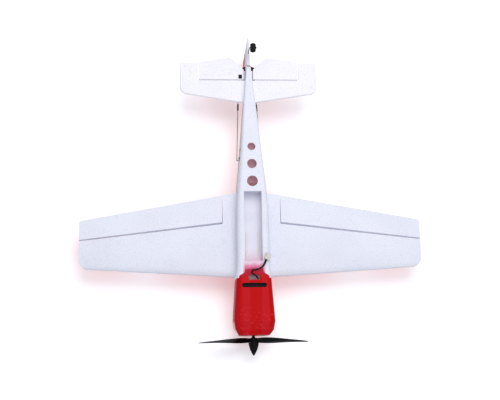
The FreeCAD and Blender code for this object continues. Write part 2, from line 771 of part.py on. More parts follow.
# ---- Tail ----------------------------------------------------------------------------------

tail_level = size("tail_level")
half_tail = size("tail_thick / 2")
elevator_hinge = size("elevator_hinge")
elevator_half = size("elevator_half")
tail_trail = size("tail_trail")
elevator_trail = size("elevator_trail")
THIN_EDGE = 0.7              # half the thickness that the tail's surfaces taper to
NOTCH_FRONT = elevator_trail - 16.5


def make_stabiliser():
    """One plate through the boom, open behind the hinge line for the elevators."""
    tip = size("tail_half")
    root_lead, tip_lead = size("tail_root_lead"), size("tail_tip_lead")
    plan = [(0, root_lead), (tip, tip_lead), (tip, tail_trail), (-tip, tail_trail), (-tip, tip_lead)]
    plate = prism(plan, tail_level - half_tail, tail_level + half_tail)
    for side in (-tip, tip):
        plate = rounded(plate, 9.5, (side, tip_lead))
        plate = rounded(plate, 3, (side, tail_trail))
    lead_edges = [e for e in plate.Edges if e.CenterOfMass.y < tip_lead - 1 and abs(e.tangentAt(0).z) < 0.1]
    plate = plate.makeFillet(1.6, [e for e in lead_edges if e.Length > 20])
    side_gap = elevator_half + 1.6
    plate = plate.cut(box(-side_gap, side_gap, elevator_hinge - gap, FAR, 0, 50))
    back = tail_trail + 9
    for flip in (-1, 1):
        thin = tail_level + flip * THIN_EDGE
        outline = [(elevator_hinge, tail_level + flip * half_tail), (back, thin), (back, tail_level + flip * 9)]
        plate = plate.cut(prism(outline, -FAR, FAR, OUT))
    return plate.cut(joiner_bore())


def pointed(hinge, trail, half, low, high):
    """A long section with a pointed front on its hinge and a thin trailing edge."""
    front = hinge + gap
    shoulder = front + half * slope
    outline = [(front, 0), (shoulder, half), (trail, THIN_EDGE), (trail, -THIN_EDGE), (shoulder, -half)]
    return prism(outline, low, high, OUT)


def make_elevator():
    """The left elevator, with a slanted inner corner that clears the rudder."""
    plan = [(6, elevator_hinge), (elevator_half, elevator_hinge), (elevator_half, tail_trail + 0.6),
            (23.7, elevator_trail), (12.5, elevator_trail - 9.2), (6, NOTCH_FRONT)]
    blade = pointed(elevator_hinge, elevator_trail + 9, half_tail, 0, FAR)
    blade.translate(UP * tail_level)
    return prism(plan, 0, 50).common(blade)


def make_joiner():
    """A bar on the hinge line with an arm and a gusset inside each elevator."""
    bar = Part.makeCylinder(size("joiner_radius"), 17, Vector(-8.5, elevator_hinge, tail_level), OUT)
    front = elevator_hinge + 0.5
    outline = [(5.4, front), (8, front), (8, NOTCH_FRONT), (7.6, NOTCH_FRONT + 3), (3.9, NOTCH_FRONT + 4.6),
               (3.9, NOTCH_FRONT - 0.8), (5.4, NOTCH_FRONT - 1.4)]
    arm = prism(outline, tail_level - 0.8, tail_level + 0.8)
    return bar.fuse([arm, mirrored(arm)])


def make_elevator_horn():
    """A horn through the left elevator, with a square plate on each side of the foam."""
    x = size("elevator_horn_x")
    top, bottom = tail_level + half_tail, tail_level - half_tail
    front = elevator_hinge + HORN_FRONT
    back = front + HORN_LONG
    parts = [box(x - HORN_HALF, x + HORN_HALF, front, back, bottom - 0.6, bottom + 0.3)]
    for side in (-1.2, 1.2):
        parts.append(Part.makeCylinder(0.5, 2 * half_tail, Vector(x + side, (front + back) / 2, bottom)))
    parts.append(horn_blade(size("elevator_arm"), half_tail + 0.5, HORN_FRONT, x, elevator_hinge, tail_level))
    return box(x - HORN_HALF, x + HORN_HALF, front, back, top - 0.3, top + 0.6).fuse(parts)


stabiliser = make_stabiliser()
elevator = make_elevator()
joiner = make_joiner()
elevator_horn = make_elevator_horn()
elevator_tabs = Part.makeCompound([hinge_tab(x, elevator_hinge, tail_level) for x in (-52, -22, 22, 52)])
feature("stabiliser", stabiliser.cut(elevator_tabs))
feature("elevator_left", elevator.cut(joiner).cut(elevator_horn))
feature("elevator_right", mirrored(elevator).cut(joiner))
feature("elevator_joiner", joiner)
feature("elevator_horn", elevator_horn.cut(joiner))
feature("elevator_hinges", elevator_tabs)

rudder_hinge = size("rudder_hinge")
fin_top = size("fin_top")
half_fin = size("fin_thick / 2")
fin = prism([(226, 30), (266, fin_top - 3), (270, fin_top), (rudder_hinge - gap, fin_top),
             (rudder_hinge - gap, 28)], -half_fin, half_fin, OUT)
fin = fin.cut(hull).cut(joiner_bore())
foot = size("rudder_foot")
rudder_plan = [(rudder_hinge, foot), (rudder_hinge + 37, foot - 0.8), (rudder_hinge + 22, fin_top),
               (rudder_hinge, fin_top)]
side_view = prism(rudder_plan, -FAR, FAR, OUT)
top_view = pointed(rudder_hinge, rudder_hinge + 40, half_fin, -50, 120)
top_view.rotate(Vector(), AFT, -90)
rudder = side_view.common(top_view)
upright = Placement(Vector(), Rotation(AFT, -90))
rudder_tabs = Part.makeCompound([framed(hinge_tab(z, rudder_hinge, 0), upright) for z in (44, 70)])
feature("fin", fin.cut(rudder_tabs))
feature("rudder_hinges", rudder_tabs)


def make_rudder_horn():
    """A flat horn let into the rudder, with an oversize hole for the bent end of its rod."""
    reach = size("rudder_arm")
    hinge = rudder_hinge
    outline = [(-reach - 1.9, hinge - 1.9), (-reach + 2, hinge - 1.9), (0.5, hinge + 3), (0.5, hinge + 6.5),
               (-reach - 1.9, hinge + 1.9)]
    level = size("rudder_rod_z") - 2
    plate = prism(outline, level - 0.6, level + 0.6)
    return plate.cut(Part.makeCylinder(1.1, 4, Vector(-reach, hinge, level - 2)))


rudder_horn = make_rudder_horn()
feature("rudder_horn", rudder_horn)

# ---- Tail wheel, which steers with the rudder ----------------------------------------------

wheel = Vector(size("wheel_x"), size("wheel_y"), size("wheel_z"))
hub_half = "wheel_half - 0.3"
axle_end = size(f"wheel_x - ({hub_half})") - 1.6
leg_path = [Vector(0, wheel.y - 3, size("rudder_foot") + 3), Vector(0, wheel.y, wheel.z),
            Vector(axle_end, wheel.y, wheel.z)]
leg = wire_rod(leg_path, size("leg_radius"))
feature("tail_wheel_leg", leg)
collar = turned("tail_wheel_collar", (("leg_radius", "0"), ("1.4", "0"), ("1.4", "1.3"),
                                      ("leg_radius", "1.3")))
hub = turned("tail_wheel_hub", (("leg_radius + fit", f"-({hub_half})"), ("1.8", f"-({hub_half})"),
                                ("2.4", "-1.4"), ("3.4", "-1.8"), ("3.4", "1.8"), ("2.4", "1.4"),
                                ("1.8", hub_half), ("leg_radius + fit", hub_half)))
tyre = turned("tail_wheel_tyre", (("3.4", "-2.6"), ("4.2", "-wheel_half"), ("5.3", "-2.7"),
                                  ("wheel_radius", "-1.2"), ("wheel_radius", "1.2"), ("5.3", "2.7"),
                                  ("4.2", "wheel_half"), ("3.4", "2.6")))
across = Rotation(UP, 90)
for piece, x in ((collar, f"wheel_x - ({hub_half}) - 0.1"), (hub, "wheel_x"), (tyre, "wheel_x")):
    place(piece, x, "wheel_y", "wheel_z", across)
doc.recompute()
feature("rudder", rudder.cut(rudder_horn).cut(leg))

# ---- Servos, arms and pushrods -------------------------------------------------------------

SHAFT = "1"                  # radius of an arm's stub, inside the servo


def servo(name, frame):
    """A small servo: a case with two ears and a bored boss for the arm's stub."""
    end = f"servo_long - {case_front}"
    half = "servo_thick / 2"
    piece = pad(body(name), "X", [block(f"-{case_front}", end, f"-{half}", half)],
                f"-{face} - servo_tall", f"-{face}")
    pad(piece, "X", [block(f"-{case_front + ear_reach}", f"{end} + {ear_reach}", f"-{half}", half)],
        f"-{ear + ear_thick}", f"-{ear}")
    pad(piece, "X", [("0", "0", "2.6")], f"-{face}", "-0.7")
    pocket(piece, "X", [("0", "0", f"{SHAFT} + fit")], "-4", "-0.7")
    holes = [(f"-{case_front} - {ear_reach / 2}", "0", "0.6"), (f"{end} + {ear_reach / 2}", "0", "0.6")]
    pocket(piece, "X", holes, f"-{ear + ear_thick}", f"-{ear}")
    piece.Placement = frame
    return piece


def arm(name, reach, frame):
    """An upright arm: a disc, a stub into the servo, and a tapered lever with one hole."""
    half = "arm_thick / 2"
    piece = pad(body(name), "X", [("0", "0", "2.4")], f"-{half}", half)
    pad(piece, "X", [("0", "0", SHAFT)], "-3.6", f"-{half}")
    pad(piece, "X", [(("-1.9", "0"), ("1.9", "0"), ("1.1", f"{reach} + 1.2"), ("-1.1", f"{reach} + 1.2"))],
        f"-{half}", half)
    pocket(piece, "X", [("0", reach, "wire + fit")], f"-{half}", half)
    piece.Placement = frame
    return piece


def mirror_of(name, source):
    """A right-hand copy of a body on the left."""
    piece = add("Part::Mirroring", name)
    piece.Source = source
    piece.Normal = OUT
    return piece


def sleeved(points, radius, share_from, share_to, sleeve):
    """A bent wire with a thicker sleeve on part of its long run."""
    start, end = points[1], points[2]
    run = end - start
    low = start + run * share_from
    collar = Part.makeCylinder(sleeve, run.Length * (share_to - share_from), low, run)
    return wire_rod(points, radius).fuse(collar)


wire = size("wire")
INNER, OUTER = 0.8, 1.4      # how far a rod's ends stand inside and outside the arm's plane
flank = size("flank_arm_x")
servo_aft = size("servo_y")
rod_level = size("elevator_servo_z + elevator_arm")
horn_x = size("elevator_horn_x")
horn_level = tail_level + size("elevator_arm")
elevator_path = [Vector(flank - INNER, servo_aft, rod_level), Vector(flank + OUTER, servo_aft, rod_level),
                 Vector(horn_x + OUTER, elevator_hinge, horn_level),
                 Vector(horn_x - INNER, elevator_hinge, horn_level)]
rod_level = size("rudder_servo_z + rudder_arm")
reach = size("rudder_arm")
rod_end = size("rudder_rod_z")
rudder_path = [Vector(INNER - flank, servo_aft, rod_level), Vector(-OUTER - flank, servo_aft, rod_level),
               Vector(-reach, rudder_hinge, rod_end), Vector(-reach, rudder_hinge, rod_end - 4)]
feature("elevator_pushrod", sleeved(elevator_path, wire, 0.64, 0.72, 1))
feature("rudder_pushrod", sleeved(rudder_path, wire, 0.55, 0.62, 1))
servo("elevator_servo", FLANK_FRAMES[0])
servo("rudder_servo", FLANK_FRAMES[1])
arm("elevator_arm", "elevator_arm", FLANK_FRAMES[0])
arm("rudder_arm", "rudder_arm", FLANK_FRAMES[1])

link, rise = size("aileron_link"), size("aileron_arm")
aileron_path = [Vector(-INNER, -link, rise), Vector(OUTER, -link, rise), Vector(OUTER, 0, rise),
                Vector(-INNER, 0, rise)]
aileron_rod = framed(wire_rod(aileron_path, wire), left_frame)
both("aileron_pushrod", aileron_rod)
for name, make, frame_args in (("aileron_servo", servo, ()), ("aileron_arm", arm, ("aileron_arm",))):
    mirror_of(f"{name}_right", make(f"{name}_left", *frame_args, left_servo_frame))

all_screws = [framed(servo_screws(), frame) for frame in (*FLANK_FRAMES, left_servo_frame)]
all_screws.append(mirrored(all_screws[2]))
feature("servo_screws", Part.makeCompound(all_screws))

# ---- Check and export ------------------------------------------------------------------------

doc.recompute()
for item in doc.Objects:
    if {"Invalid", "Error"} & set(item.State):
        raise RuntimeError(f"{item.Label} did not recompute: {item.State}")
os.makedirs("parts", exist_ok=True)
for piece in pieces:
    if piece.Shape.isNull() or not piece.Shape.isValid():
        raise RuntimeError(f"{piece.Label} has no valid shape")
    piece.Shape.exportStep(f"parts/{piece.Label}.step")
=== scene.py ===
import json
import math
import random

import bmesh
import bpy
from mathutils import Matrix, Vector
from mathutils.bvhtree import BVHTree


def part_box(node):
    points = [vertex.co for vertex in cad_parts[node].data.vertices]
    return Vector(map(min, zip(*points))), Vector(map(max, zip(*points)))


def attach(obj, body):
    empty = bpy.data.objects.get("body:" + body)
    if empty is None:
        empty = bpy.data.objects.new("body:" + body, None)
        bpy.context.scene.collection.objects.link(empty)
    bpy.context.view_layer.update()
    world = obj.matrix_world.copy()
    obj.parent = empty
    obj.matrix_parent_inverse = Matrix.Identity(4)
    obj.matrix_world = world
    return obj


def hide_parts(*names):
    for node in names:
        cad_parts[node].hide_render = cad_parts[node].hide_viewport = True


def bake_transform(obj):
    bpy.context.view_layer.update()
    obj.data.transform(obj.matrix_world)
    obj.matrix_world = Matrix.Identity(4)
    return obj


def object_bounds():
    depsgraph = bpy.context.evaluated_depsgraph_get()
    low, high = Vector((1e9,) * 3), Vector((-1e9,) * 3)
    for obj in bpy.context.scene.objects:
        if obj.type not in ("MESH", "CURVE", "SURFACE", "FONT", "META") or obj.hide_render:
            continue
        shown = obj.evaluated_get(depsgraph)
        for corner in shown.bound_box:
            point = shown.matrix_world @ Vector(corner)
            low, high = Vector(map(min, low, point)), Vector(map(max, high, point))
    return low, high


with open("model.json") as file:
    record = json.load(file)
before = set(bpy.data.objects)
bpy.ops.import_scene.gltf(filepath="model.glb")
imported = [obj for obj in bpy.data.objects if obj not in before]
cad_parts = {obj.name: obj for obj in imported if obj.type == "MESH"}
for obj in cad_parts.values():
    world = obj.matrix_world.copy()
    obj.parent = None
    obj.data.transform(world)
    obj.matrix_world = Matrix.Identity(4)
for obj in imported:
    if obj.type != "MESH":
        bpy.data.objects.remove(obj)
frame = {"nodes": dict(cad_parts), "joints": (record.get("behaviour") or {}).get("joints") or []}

nodes = frame["nodes"]
cad_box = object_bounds()
MM = 0.001
random.seed(7)


# ---------------------------------------------------------------- places on the airframe
def centre(name):
    """The middle of a CAD node's box."""
    low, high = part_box(name)
    return (low + high) / 2


chord_plane = centre("wing_left").z + 0.5 * MM
thrust_line = centre("spinner").z
tail_plane = centre("elevator_left").z
canopy_low, canopy_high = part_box("canopy")
fin_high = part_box("fin")[1]
socket_middle = centre("gear_socket")
object_middle = (cad_box[0] + cad_box[1]) / 2


# ---------------------------------------------------------------- materials
class Look:
    """One procedural material: a Principled shader fed from the part's own coordinates."""

    def __init__(self, name, roughness=0.5, metallic=0.0, **extra):
        self.material = bpy.data.materials.new(name)
        self.material.use_nodes = True
        self.tree = self.material.node_tree
        self.shader = self.tree.nodes["Principled BSDF"]
        self.set("Roughness", roughness)
        self.set("Metallic", metallic)
        for socket, value in extra.items():
            self.set(socket.replace("_", " "), value)
        coordinates = self.tree.nodes.new("ShaderNodeTexCoord")
        self.place = coordinates.outputs["Object"]
        self.x, self.y, self.z = self.split(self.place)
        self.nx, self.ny, self.nz = self.split(coordinates.outputs["Normal"])

    def set(self, socket, value):
        self.feed(self.shader.inputs[socket], value)

    def feed(self, socket, value):
        if isinstance(value, bpy.types.NodeSocket):
            self.tree.links.new(value, socket)
        elif value is not None:
            socket.default_value = colour(value) if socket.type == "RGBA" else value

    def add(self, kind, feeds, **settings):
        made = self.tree.nodes.new("ShaderNode" + kind)
        for name, value in settings.items():
            setattr(made, name, value)
        for socket, value in feeds.items():
            self.feed(made.inputs[socket], value)
        return made

    def split(self, vector):
        parts = self.add("SeparateXYZ", {"Vector": vector})
        return parts.outputs[0], parts.outputs[1], parts.outputs[2]

    def math(self, operation, a, b=0.0, c=0.0):
        return self.add("Math", {0: a, 1: b, 2: c}, operation=operation).outputs[0]

    def grade(self, value, low, high):
        """0 at low and 1 at high, smooth in between."""
        return self.add("MapRange", {"Value": value, "From Min": low, "From Max": high},
                        interpolation_type="SMOOTHSTEP").outputs[0]

    def mix(self, share, first, second, blend="MIX"):
        made = self.add("Mix", {0: share, 6: first, 7: second}, data_type="RGBA", blend_type=blend)
        return made.outputs[2]

    def noise(self, size, detail=3.0, stretch=None):
        """Soft noise with features about size metres across."""
        place = self.place
        if stretch:
            place = self.add("VectorMath", {0: self.place, 1: stretch}, operation="MULTIPLY").outputs[0]
        return self.add("TexNoise", {"Vector": place, "Scale": 1 / size, "Detail": detail}).outputs[0]

    def cells(self, size, feature="DISTANCE_TO_EDGE", output=0):
        return self.add("TexVoronoi", {"Vector": self.place, "Scale": 1 / size},
                        feature=feature).outputs[output]

    def bump(self, height, depth, share=1.0, below=None):
        """Raises the surface by up to depth metres where height is 1."""
        made = self.add("Bump", {"Height": height, "Distance": depth, "Strength": share,
                                 "Normal": below})
        return made.outputs[0]

    def edges(self, radius):
        """1 on sharp edges, 0 on open surfaces."""
        bevel = self.add("Bevel", {"Radius": radius}, samples=4).outputs[0]
        normal = self.add("NewGeometry", {}).outputs["Normal"]
        facing = self.add("VectorMath", {0: bevel, 1: normal}, operation="DOT_PRODUCT").outputs["Value"]
        return self.grade(facing, 0.97, 0.8)


def colour(value):
    """An RGBA value from three sRGB numbers out of 255."""
    if len(value) == 4:
        return value
    linear = []
    for part in value:
        part = part / 255
        linear.append(part / 12.92 if part <= 0.04045 else ((part + 0.055) / 1.055) ** 2.4)
    return (*linear, 1.0)


WHITE = (226, 228, 240)
WHITE_DIM = (221, 223, 236)
RED = (205, 18, 28)
BLACK = (16, 15, 19)


def foam(name, paint=None, tone=WHITE, dim=WHITE_DIM):
    """Moulded bead foam: close-packed beads that show as faint cells, under a thin coat of paint."""
    look = Look(name, roughness=0.62, Specular_IOR_Level=0.35)
    bead_edge = look.grade(look.cells(3.1 * MM), 0.0, 0.09)
    fine_edge = look.grade(look.cells(1.15 * MM), 0.0, 0.12)
    drift = look.grade(look.noise(60 * MM, 2), 0.35, 0.7)
    body = look.mix(drift, tone, dim)
    body = look.mix(look.math("MULTIPLY", look.noise(9 * MM, 4), 0.25), body, (236, 232, 236))
    between = look.math("SUBTRACT", 1.0, bead_edge)
    body = look.mix(look.math("MULTIPLY", between, 0.12), body, (200, 202, 218))
    if paint:
        body = paint(look, body)
        body = look.mix(look.math("MULTIPLY", between, 0.07), body, (60, 40, 50))
    look.set("Base Color", body)
    look.set("Roughness", look.math("MULTIPLY_ADD", look.noise(2 * MM, 4), 0.22, 0.48))
    raised = look.bump(bead_edge, 0.09 * MM, 0.6)
    raised = look.bump(fine_edge, 0.03 * MM, 0.5, raised)
    look.set("Normal", look.bump(look.noise(14 * MM, 2), 0.25 * MM, 0.5, raised))
    return look.material


def wing_paint(look, body):
    """Red above the chord plane, with a slanted white band edged in black towards each tip."""
    above = look.grade(look.z, chord_plane + 0.2 * MM, chord_plane + 0.7 * MM)
    top = look.math("MULTIPLY", above, look.grade(look.nz, 0.15, 0.3))
    span = look.math("ABSOLUTE", look.x)
    slanted = look.math("MULTIPLY_ADD", look.y, 0.55, span)
    scheme = look.mix(look.noise(40 * MM, 2), RED, (192, 14, 26))
    edging, band, pinstripe = (134, 172, BLACK), (136.5, 169.5, (238, 238, 242)), (158, 160.5, BLACK)
    for start, end, shade in (edging, band, pinstripe):
        inside = look.math("MULTIPLY", look.math("GREATER_THAN", slanted, start * MM),
                           look.math("LESS_THAN", slanted, end * MM))
        scheme = look.mix(inside, scheme, shade)
    return look.mix(top, body, scheme)


def fuselage_paint(look, body):
    """White below and red above a black line, with a red tint round the cowl joint; the inside faces carry
    painted red light, painted shade and a painted glow.
    """
    line = look.math("MULTIPLY_ADD", look.y, -0.02, 29.5 * MM)
    height = look.math("SUBTRACT", look.z, line)
    body = look.mix(look.grade(height, -0.15 * MM, 0.15 * MM), body, BLACK)
    body = look.mix(look.grade(height, 1.85 * MM, 2.15 * MM), body, RED)
    outward = look.math("ADD", look.math("MULTIPLY", look.nx, look.x),
                        look.math("MULTIPLY", look.nz, look.math("SUBTRACT", look.z, 22 * MM)))
    inside = look.math("LESS_THAN", outward, -0.5 * MM)
    # painted light on the inside faces: pink near the cowl from its red light, paler aft, and a dimmer rose
    # shade in the boom
    inside_painted_light = look.mix(look.grade(look.y, 26 * MM, 60 * MM), (226, 120, 140), (222, 205, 214))
    inside_painted_light = look.mix(look.grade(look.y, 118 * MM, 128 * MM), inside_painted_light, (196, 150, 156))
    body = look.mix(inside, body, inside_painted_light)
    # painted glow on the inside faces, standing in for the light that reaches them
    look.set("Emission Color", (170, 118, 130))
    look.set("Emission Strength", look.math("MULTIPLY", inside, 0.45))
    # a red tint round the cowl joint
    haze = look.math("MULTIPLY_ADD", look.noise(7 * MM, 3), 9 * MM, look.y)
    near = look.math("MULTIPLY", look.grade(haze, 40 * MM, 15 * MM),
                     look.grade(look.math("ABSOLUTE", look.x), 15 * MM, 11.5 * MM))
    return look.mix(near, body, (212, 34, 62))


def tail_paint(look, body):
    """Red above the tail's middle plane, with white tips behind a black line."""
    above = look.grade(look.z, tail_plane + 0.2 * MM, tail_plane + 0.6 * MM)
    facing = look.grade(look.nz, 0.2, 0.4)
    span = look.math("MULTIPLY_ADD", look.y, 0.5, look.math("ABSOLUTE", look.x))
    scheme = look.mix(look.math("GREATER_THAN", span, 192 * MM), RED, BLACK)
    scheme = look.mix(look.math("GREATER_THAN", span, 194.5 * MM), scheme, (236, 236, 241))
    return look.mix(look.math("MULTIPLY", above, facing), body, scheme)


def fin_paint(look, body):
    """White at the foot, then red, then a black patch at the top of the leading edge."""
    height = look.math("MULTIPLY_ADD", look.y, 0.35, look.z)
    body = look.mix(look.grade(height, 160 * MM, 163 * MM), body, (214, 90, 120))
    body = look.mix(look.grade(height, 164 * MM, 165 * MM), body, RED)
    slope = look.math("MULTIPLY_ADD", look.y, -0.55, look.z)
    return look.mix(look.math("GREATER_THAN", slope, -80 * MM), body, BLACK)


def plastic(name, shade, roughness=0.35, grain=0.4, edge=(92, 92, 98), shine=0.3):
    """Moulded plastic: a fine spark-eroded grain, faint flow marks and edges a little lighter."""
    look = Look(name, roughness, Specular_IOR_Level=shine)
    flow = look.grade(look.noise(6 * MM, 3, (1, 0.3, 1)), 0.3, 0.75)
    darker = tuple(part * 0.8 for part in shade)
    body = look.mix(flow, shade, darker)
    look.set("Base Color", look.mix(look.math("MULTIPLY", look.edges(0.25 * MM), 0.3), body, edge))
    look.set("Roughness", look.math("MULTIPLY_ADD", look.noise(1.5 * MM, 5), 0.3, roughness - 0.12))
    look.set("Normal", look.bump(look.noise(0.35 * MM, 2), 0.03 * MM, grain))
    return look.material


def cowl_skin():
    """Thin vacuum-formed sheet, red paint inside clear film that runs out to bare white along the tongue,
    with paler bands either side of the middle as painted reflections, painted shade on the outer sides and a
    painted highlight on the front edges.
    """
    look = Look("cowl_red_sheet", 0.34, Specular_IOR_Level=0.07, Coat_Weight=0.02, Coat_Roughness=0.15)
    # painted reflections: two paler lengthwise bands either side of the middle
    wander = look.math("MULTIPLY_ADD", look.noise(26 * MM, 2), 3 * MM, look.x)
    across = look.math("ABSOLUTE", wander)
    reflected_band = look.math("MULTIPLY", look.grade(across, 6 * MM, 8.5 * MM),
                      look.grade(across, 17.5 * MM, 15 * MM))
    body = look.mix(reflected_band, (186, 3, 4), (190, 17, 28))
    # painted shade, darker towards the outer sides
    edge = look.grade(across, 17 * MM, 25 * MM)
    body = look.mix(look.math("MULTIPLY", edge, 0.6), body, (170, 20, 34))
    scuff = look.math("MULTIPLY", look.grade(look.noise(3.2 * MM, 6), 0.52, 0.7),
                      look.grade(look.y, -18 * MM, -40 * MM))
    body = look.mix(look.math("MULTIPLY", scuff, 0.22), body, (214, 72, 92))
    # painted highlight on the edges ahead of the tongue
    edge_highlight = look.math("MULTIPLY", look.edges(0.6 * MM), look.grade(look.y, 8 * MM, 4 * MM))
    body = look.mix(look.math("MULTIPLY", edge_highlight, 0.3), body, (222, 60, 70))
    fade = look.math("MULTIPLY_ADD", look.noise(5 * MM, 3), 5 * MM, look.y)
    body = look.mix(look.grade(fade, 12 * MM, 21 * MM), body, (176, 34, 58))
    body = look.mix(look.grade(fade, 20.5 * MM, 26 * MM), body, (222, 128, 164))
    body = look.mix(look.grade(fade, 25 * MM, 31 * MM), body, (226, 205, 219))
    look.set("Base Color", body)
    look.set("Roughness", look.math("MULTIPLY_ADD", look.noise(5 * MM, 4), 0.28, 0.22))
    ripple = look.bump(look.noise(9 * MM, 1), 0.25 * MM, 0.5)
    look.set("Normal", look.bump(look.noise(0.8 * MM, 3), 0.02 * MM, 0.5, ripple))
    return look.material


def canopy_skin():
    """Smoked gloss canopy, a shade bluer along its crown."""
    look = Look("canopy_smoke_gloss", 0.08, Coat_Weight=1.0, Coat_Roughness=0.03)
    crown = look.grade(look.z, canopy_low.z, canopy_high.z)
    look.set("Base Color", look.mix(crown, (18, 18, 24), (44, 50, 66)))
    look.set("Roughness", look.math("MULTIPLY_ADD", look.noise(12 * MM, 5), 0.14, 0.02))
    look.set("Normal", look.bump(look.noise(22 * MM, 1), 0.2 * MM, 0.3))
    return look.material


def metal(name, shade, roughness=0.3, brushed=(1, 1, 12)):
    look = Look(name, roughness, 1.0)
    streak = look.noise(1.2 * MM, 3, brushed)
    look.set("Base Color", look.mix(streak, shade, tuple(part * 0.72 for part in shade)))
    look.set("Roughness", look.math("MULTIPLY_ADD", streak, 0.3, roughness - 0.1))
    look.set("Normal", look.bump(streak, 0.02 * MM, 0.5))
    return look.material


def windings():
    """Enamelled copper laid in fine turns."""
    look = Look("copper_windings", 0.3, 1.0)
    turns = look.add("TexWave", {"Vector": look.place, "Scale": 900.0, "Distortion": 1.5}).outputs[1]
    look.set("Base Color", look.mix(turns, (120, 52, 22), (214, 122, 66)))
    look.set("Normal", look.bump(turns, 0.15 * MM, 0.9))
    return look.material


def plywood():
    look = Look("birch_ply", 0.6)
    grain = look.noise(0.9 * MM, 5, (1, 1, 0.12))
    body = look.mix(grain, (214, 182, 132), (172, 130, 84))
    layers = look.add("TexWave", {"Vector": look.place, "Scale": 260.0, "Distortion": 0.3},
                      bands_direction="Y").outputs[1]
    look.set("Base Color", look.mix(look.math("MULTIPLY", layers, 0.3), body, (120, 82, 48)))
    look.set("Normal", look.bump(grain, 0.05 * MM, 0.6))
    return look.material


def circuit():
    """Green mask over a fine maze of copper tracks and pads."""
    look = Look("circuit_mask", 0.3, Coat_Weight=0.5)
    maze = look.cells(0.9 * MM, "F1")
    blocks = look.math("GREATER_THAN", look.cells(2.2 * MM, "DISTANCE_TO_EDGE"), 0.04)
    body = look.mix(look.grade(maze, 0.25, 0.5), (24, 92, 52), (14, 58, 34))
    look.set("Base Color", look.mix(look.math("SUBTRACT", 1.0, blocks), body, (176, 148, 84)))
    look.set("Normal", look.bump(blocks, 0.05 * MM, 0.8))
    return look.material


def carbon():
    look = Look("pultruded_carbon", 0.35, Coat_Weight=0.4)
    fibre = look.noise(0.4 * MM, 4, (0.02, 1, 1))
    look.set("Base Color", look.mix(fibre, (14, 14, 16), (62, 62, 68)))
    look.set("Normal", look.bump(fibre, 0.03 * MM, 0.8))
    return look.material


def sleeve(name, shade, rib=0.0):
    """Silicone or heat-shrink skin: matt, wrinkled a little, sometimes braided."""
    look = Look(name, 0.5, Specular_IOR_Level=0.15)
    wrinkle = look.noise(1.4 * MM, 4)
    look.set("Base Color", look.mix(wrinkle, shade, tuple(part * 1.3 + 6 for part in shade)))
    look.set("Roughness", look.math("MULTIPLY_ADD", wrinkle, 0.4, 0.3))
    raised = look.bump(wrinkle, 0.12 * MM, 0.7)
    if rib:
        raised = look.bump(look.cells(rib), 0.1 * MM, 0.8, raised)
    look.set("Normal", raised)
    return look.material


def fleece(name, shade, loop):
    """Matted hook-and-loop or felt: tiny tangled loops that catch the light at their tips."""
    look = Look(name, 0.9, Sheen_Weight=0.7, Sheen_Roughness=0.4)
    loops = look.cells(loop, "F1")
    tangle = look.noise(loop * 2.5, 6)
    lit, shaded = tuple(min(255, part * 1.12) for part in shade), tuple(part * 0.8 for part in shade)
    body = look.mix(look.grade(loops, 0.0, 0.6), lit, shade)
    look.set("Base Color", look.mix(look.math("MULTIPLY", tangle, 0.5), body, shaded))
    raised = look.bump(loops, -0.3 * MM, 0.9)
    look.set("Normal", look.bump(tangle, 0.3 * MM, 0.6, raised))
    return look.material


def bay_foam():
    """The bay's pale liner: fine bead foam, lavender white, with a painted pink flush at its front for the
    red light thrown back from the cowl.
    """
    look = Look("bay_liner_foam", 0.7, Specular_IOR_Level=0.25)
    bead = look.grade(look.cells(1.4 * MM), 0.0, 0.1)
    body = look.mix(look.grade(look.noise(18 * MM, 3), 0.3, 0.7), (229, 228, 238), (222, 222, 233))
    # painted light: the cowl's red light, painted as a pink flush towards the bay's front
    haze = look.math("MULTIPLY_ADD", look.noise(8 * MM, 3), 10 * MM, look.y)
    body = look.mix(look.grade(haze, 52 * MM, 34 * MM), body, (232, 208, 220))
    body = look.mix(look.grade(haze, 38 * MM, 28 * MM), body, (232, 150, 182))
    body = look.mix(look.math("MULTIPLY", look.math("SUBTRACT", 1.0, bead), 0.1), body, (190, 188, 204))
    look.set("Base Color", body)
    look.set("Normal", look.bump(bead, 0.08 * MM, 0.6))
    return look.material


def liner_foam():
    """Foam inside the hull, with the red light that comes through its painted deck painted into its colour,
    and a painted glow.
    """
    look = Look("liner_foam", 0.8, Specular_IOR_Level=0.2, Emission_Color=(156, 128, 137),
                Emission_Strength=0.32)
    bead = look.grade(look.cells(2.2 * MM), 0.0, 0.1)
    body = look.mix(look.noise(6 * MM, 3), (186, 160, 166), (166, 138, 147))
    look.set("Base Color", look.mix(bead, (150, 104, 114), body))
    look.set("Normal", look.bump(bead, 0.1 * MM, 0.6))
    return look.material


def neck_shade_film():
    """Creased translucent grey film, put in as painted shade for the inside of the neck."""
    look = Look("neck_shade_grey_film", 0.4, Specular_IOR_Level=0.3)
    crease = look.noise(2.4 * MM, 5)
    look.set("Base Color", look.mix(crease, (118, 92, 100), (164, 146, 152)))
    look.set("Normal", look.bump(crease, 0.2 * MM, 0.7))
    return look.material


def film():
    """Clear polyester hinge film with a frosted grain, seen against white foam."""
    look = Look("hinge_film_frosted", 0.28, Coat_Weight=0.4)
    haze = look.noise(1.1 * MM, 4)
    look.set("Base Color", look.mix(haze, (226, 228, 238), (206, 208, 220)))
    look.set("Roughness", look.math("MULTIPLY_ADD", haze, 0.3, 0.15))
    look.set("Normal", look.bump(haze, 0.03 * MM, 0.7))
    return look.material


def rubber():
    look = Look("tyre_rubber", 0.75, Specular_IOR_Level=0.12)
    pores = look.cells(0.5 * MM)
    look.set("Base Color", look.mix(look.noise(2 * MM, 4), (18, 17, 20), (38, 37, 42)))
    look.set("Normal", look.bump(pores, 0.08 * MM, 0.7))
    return look.material


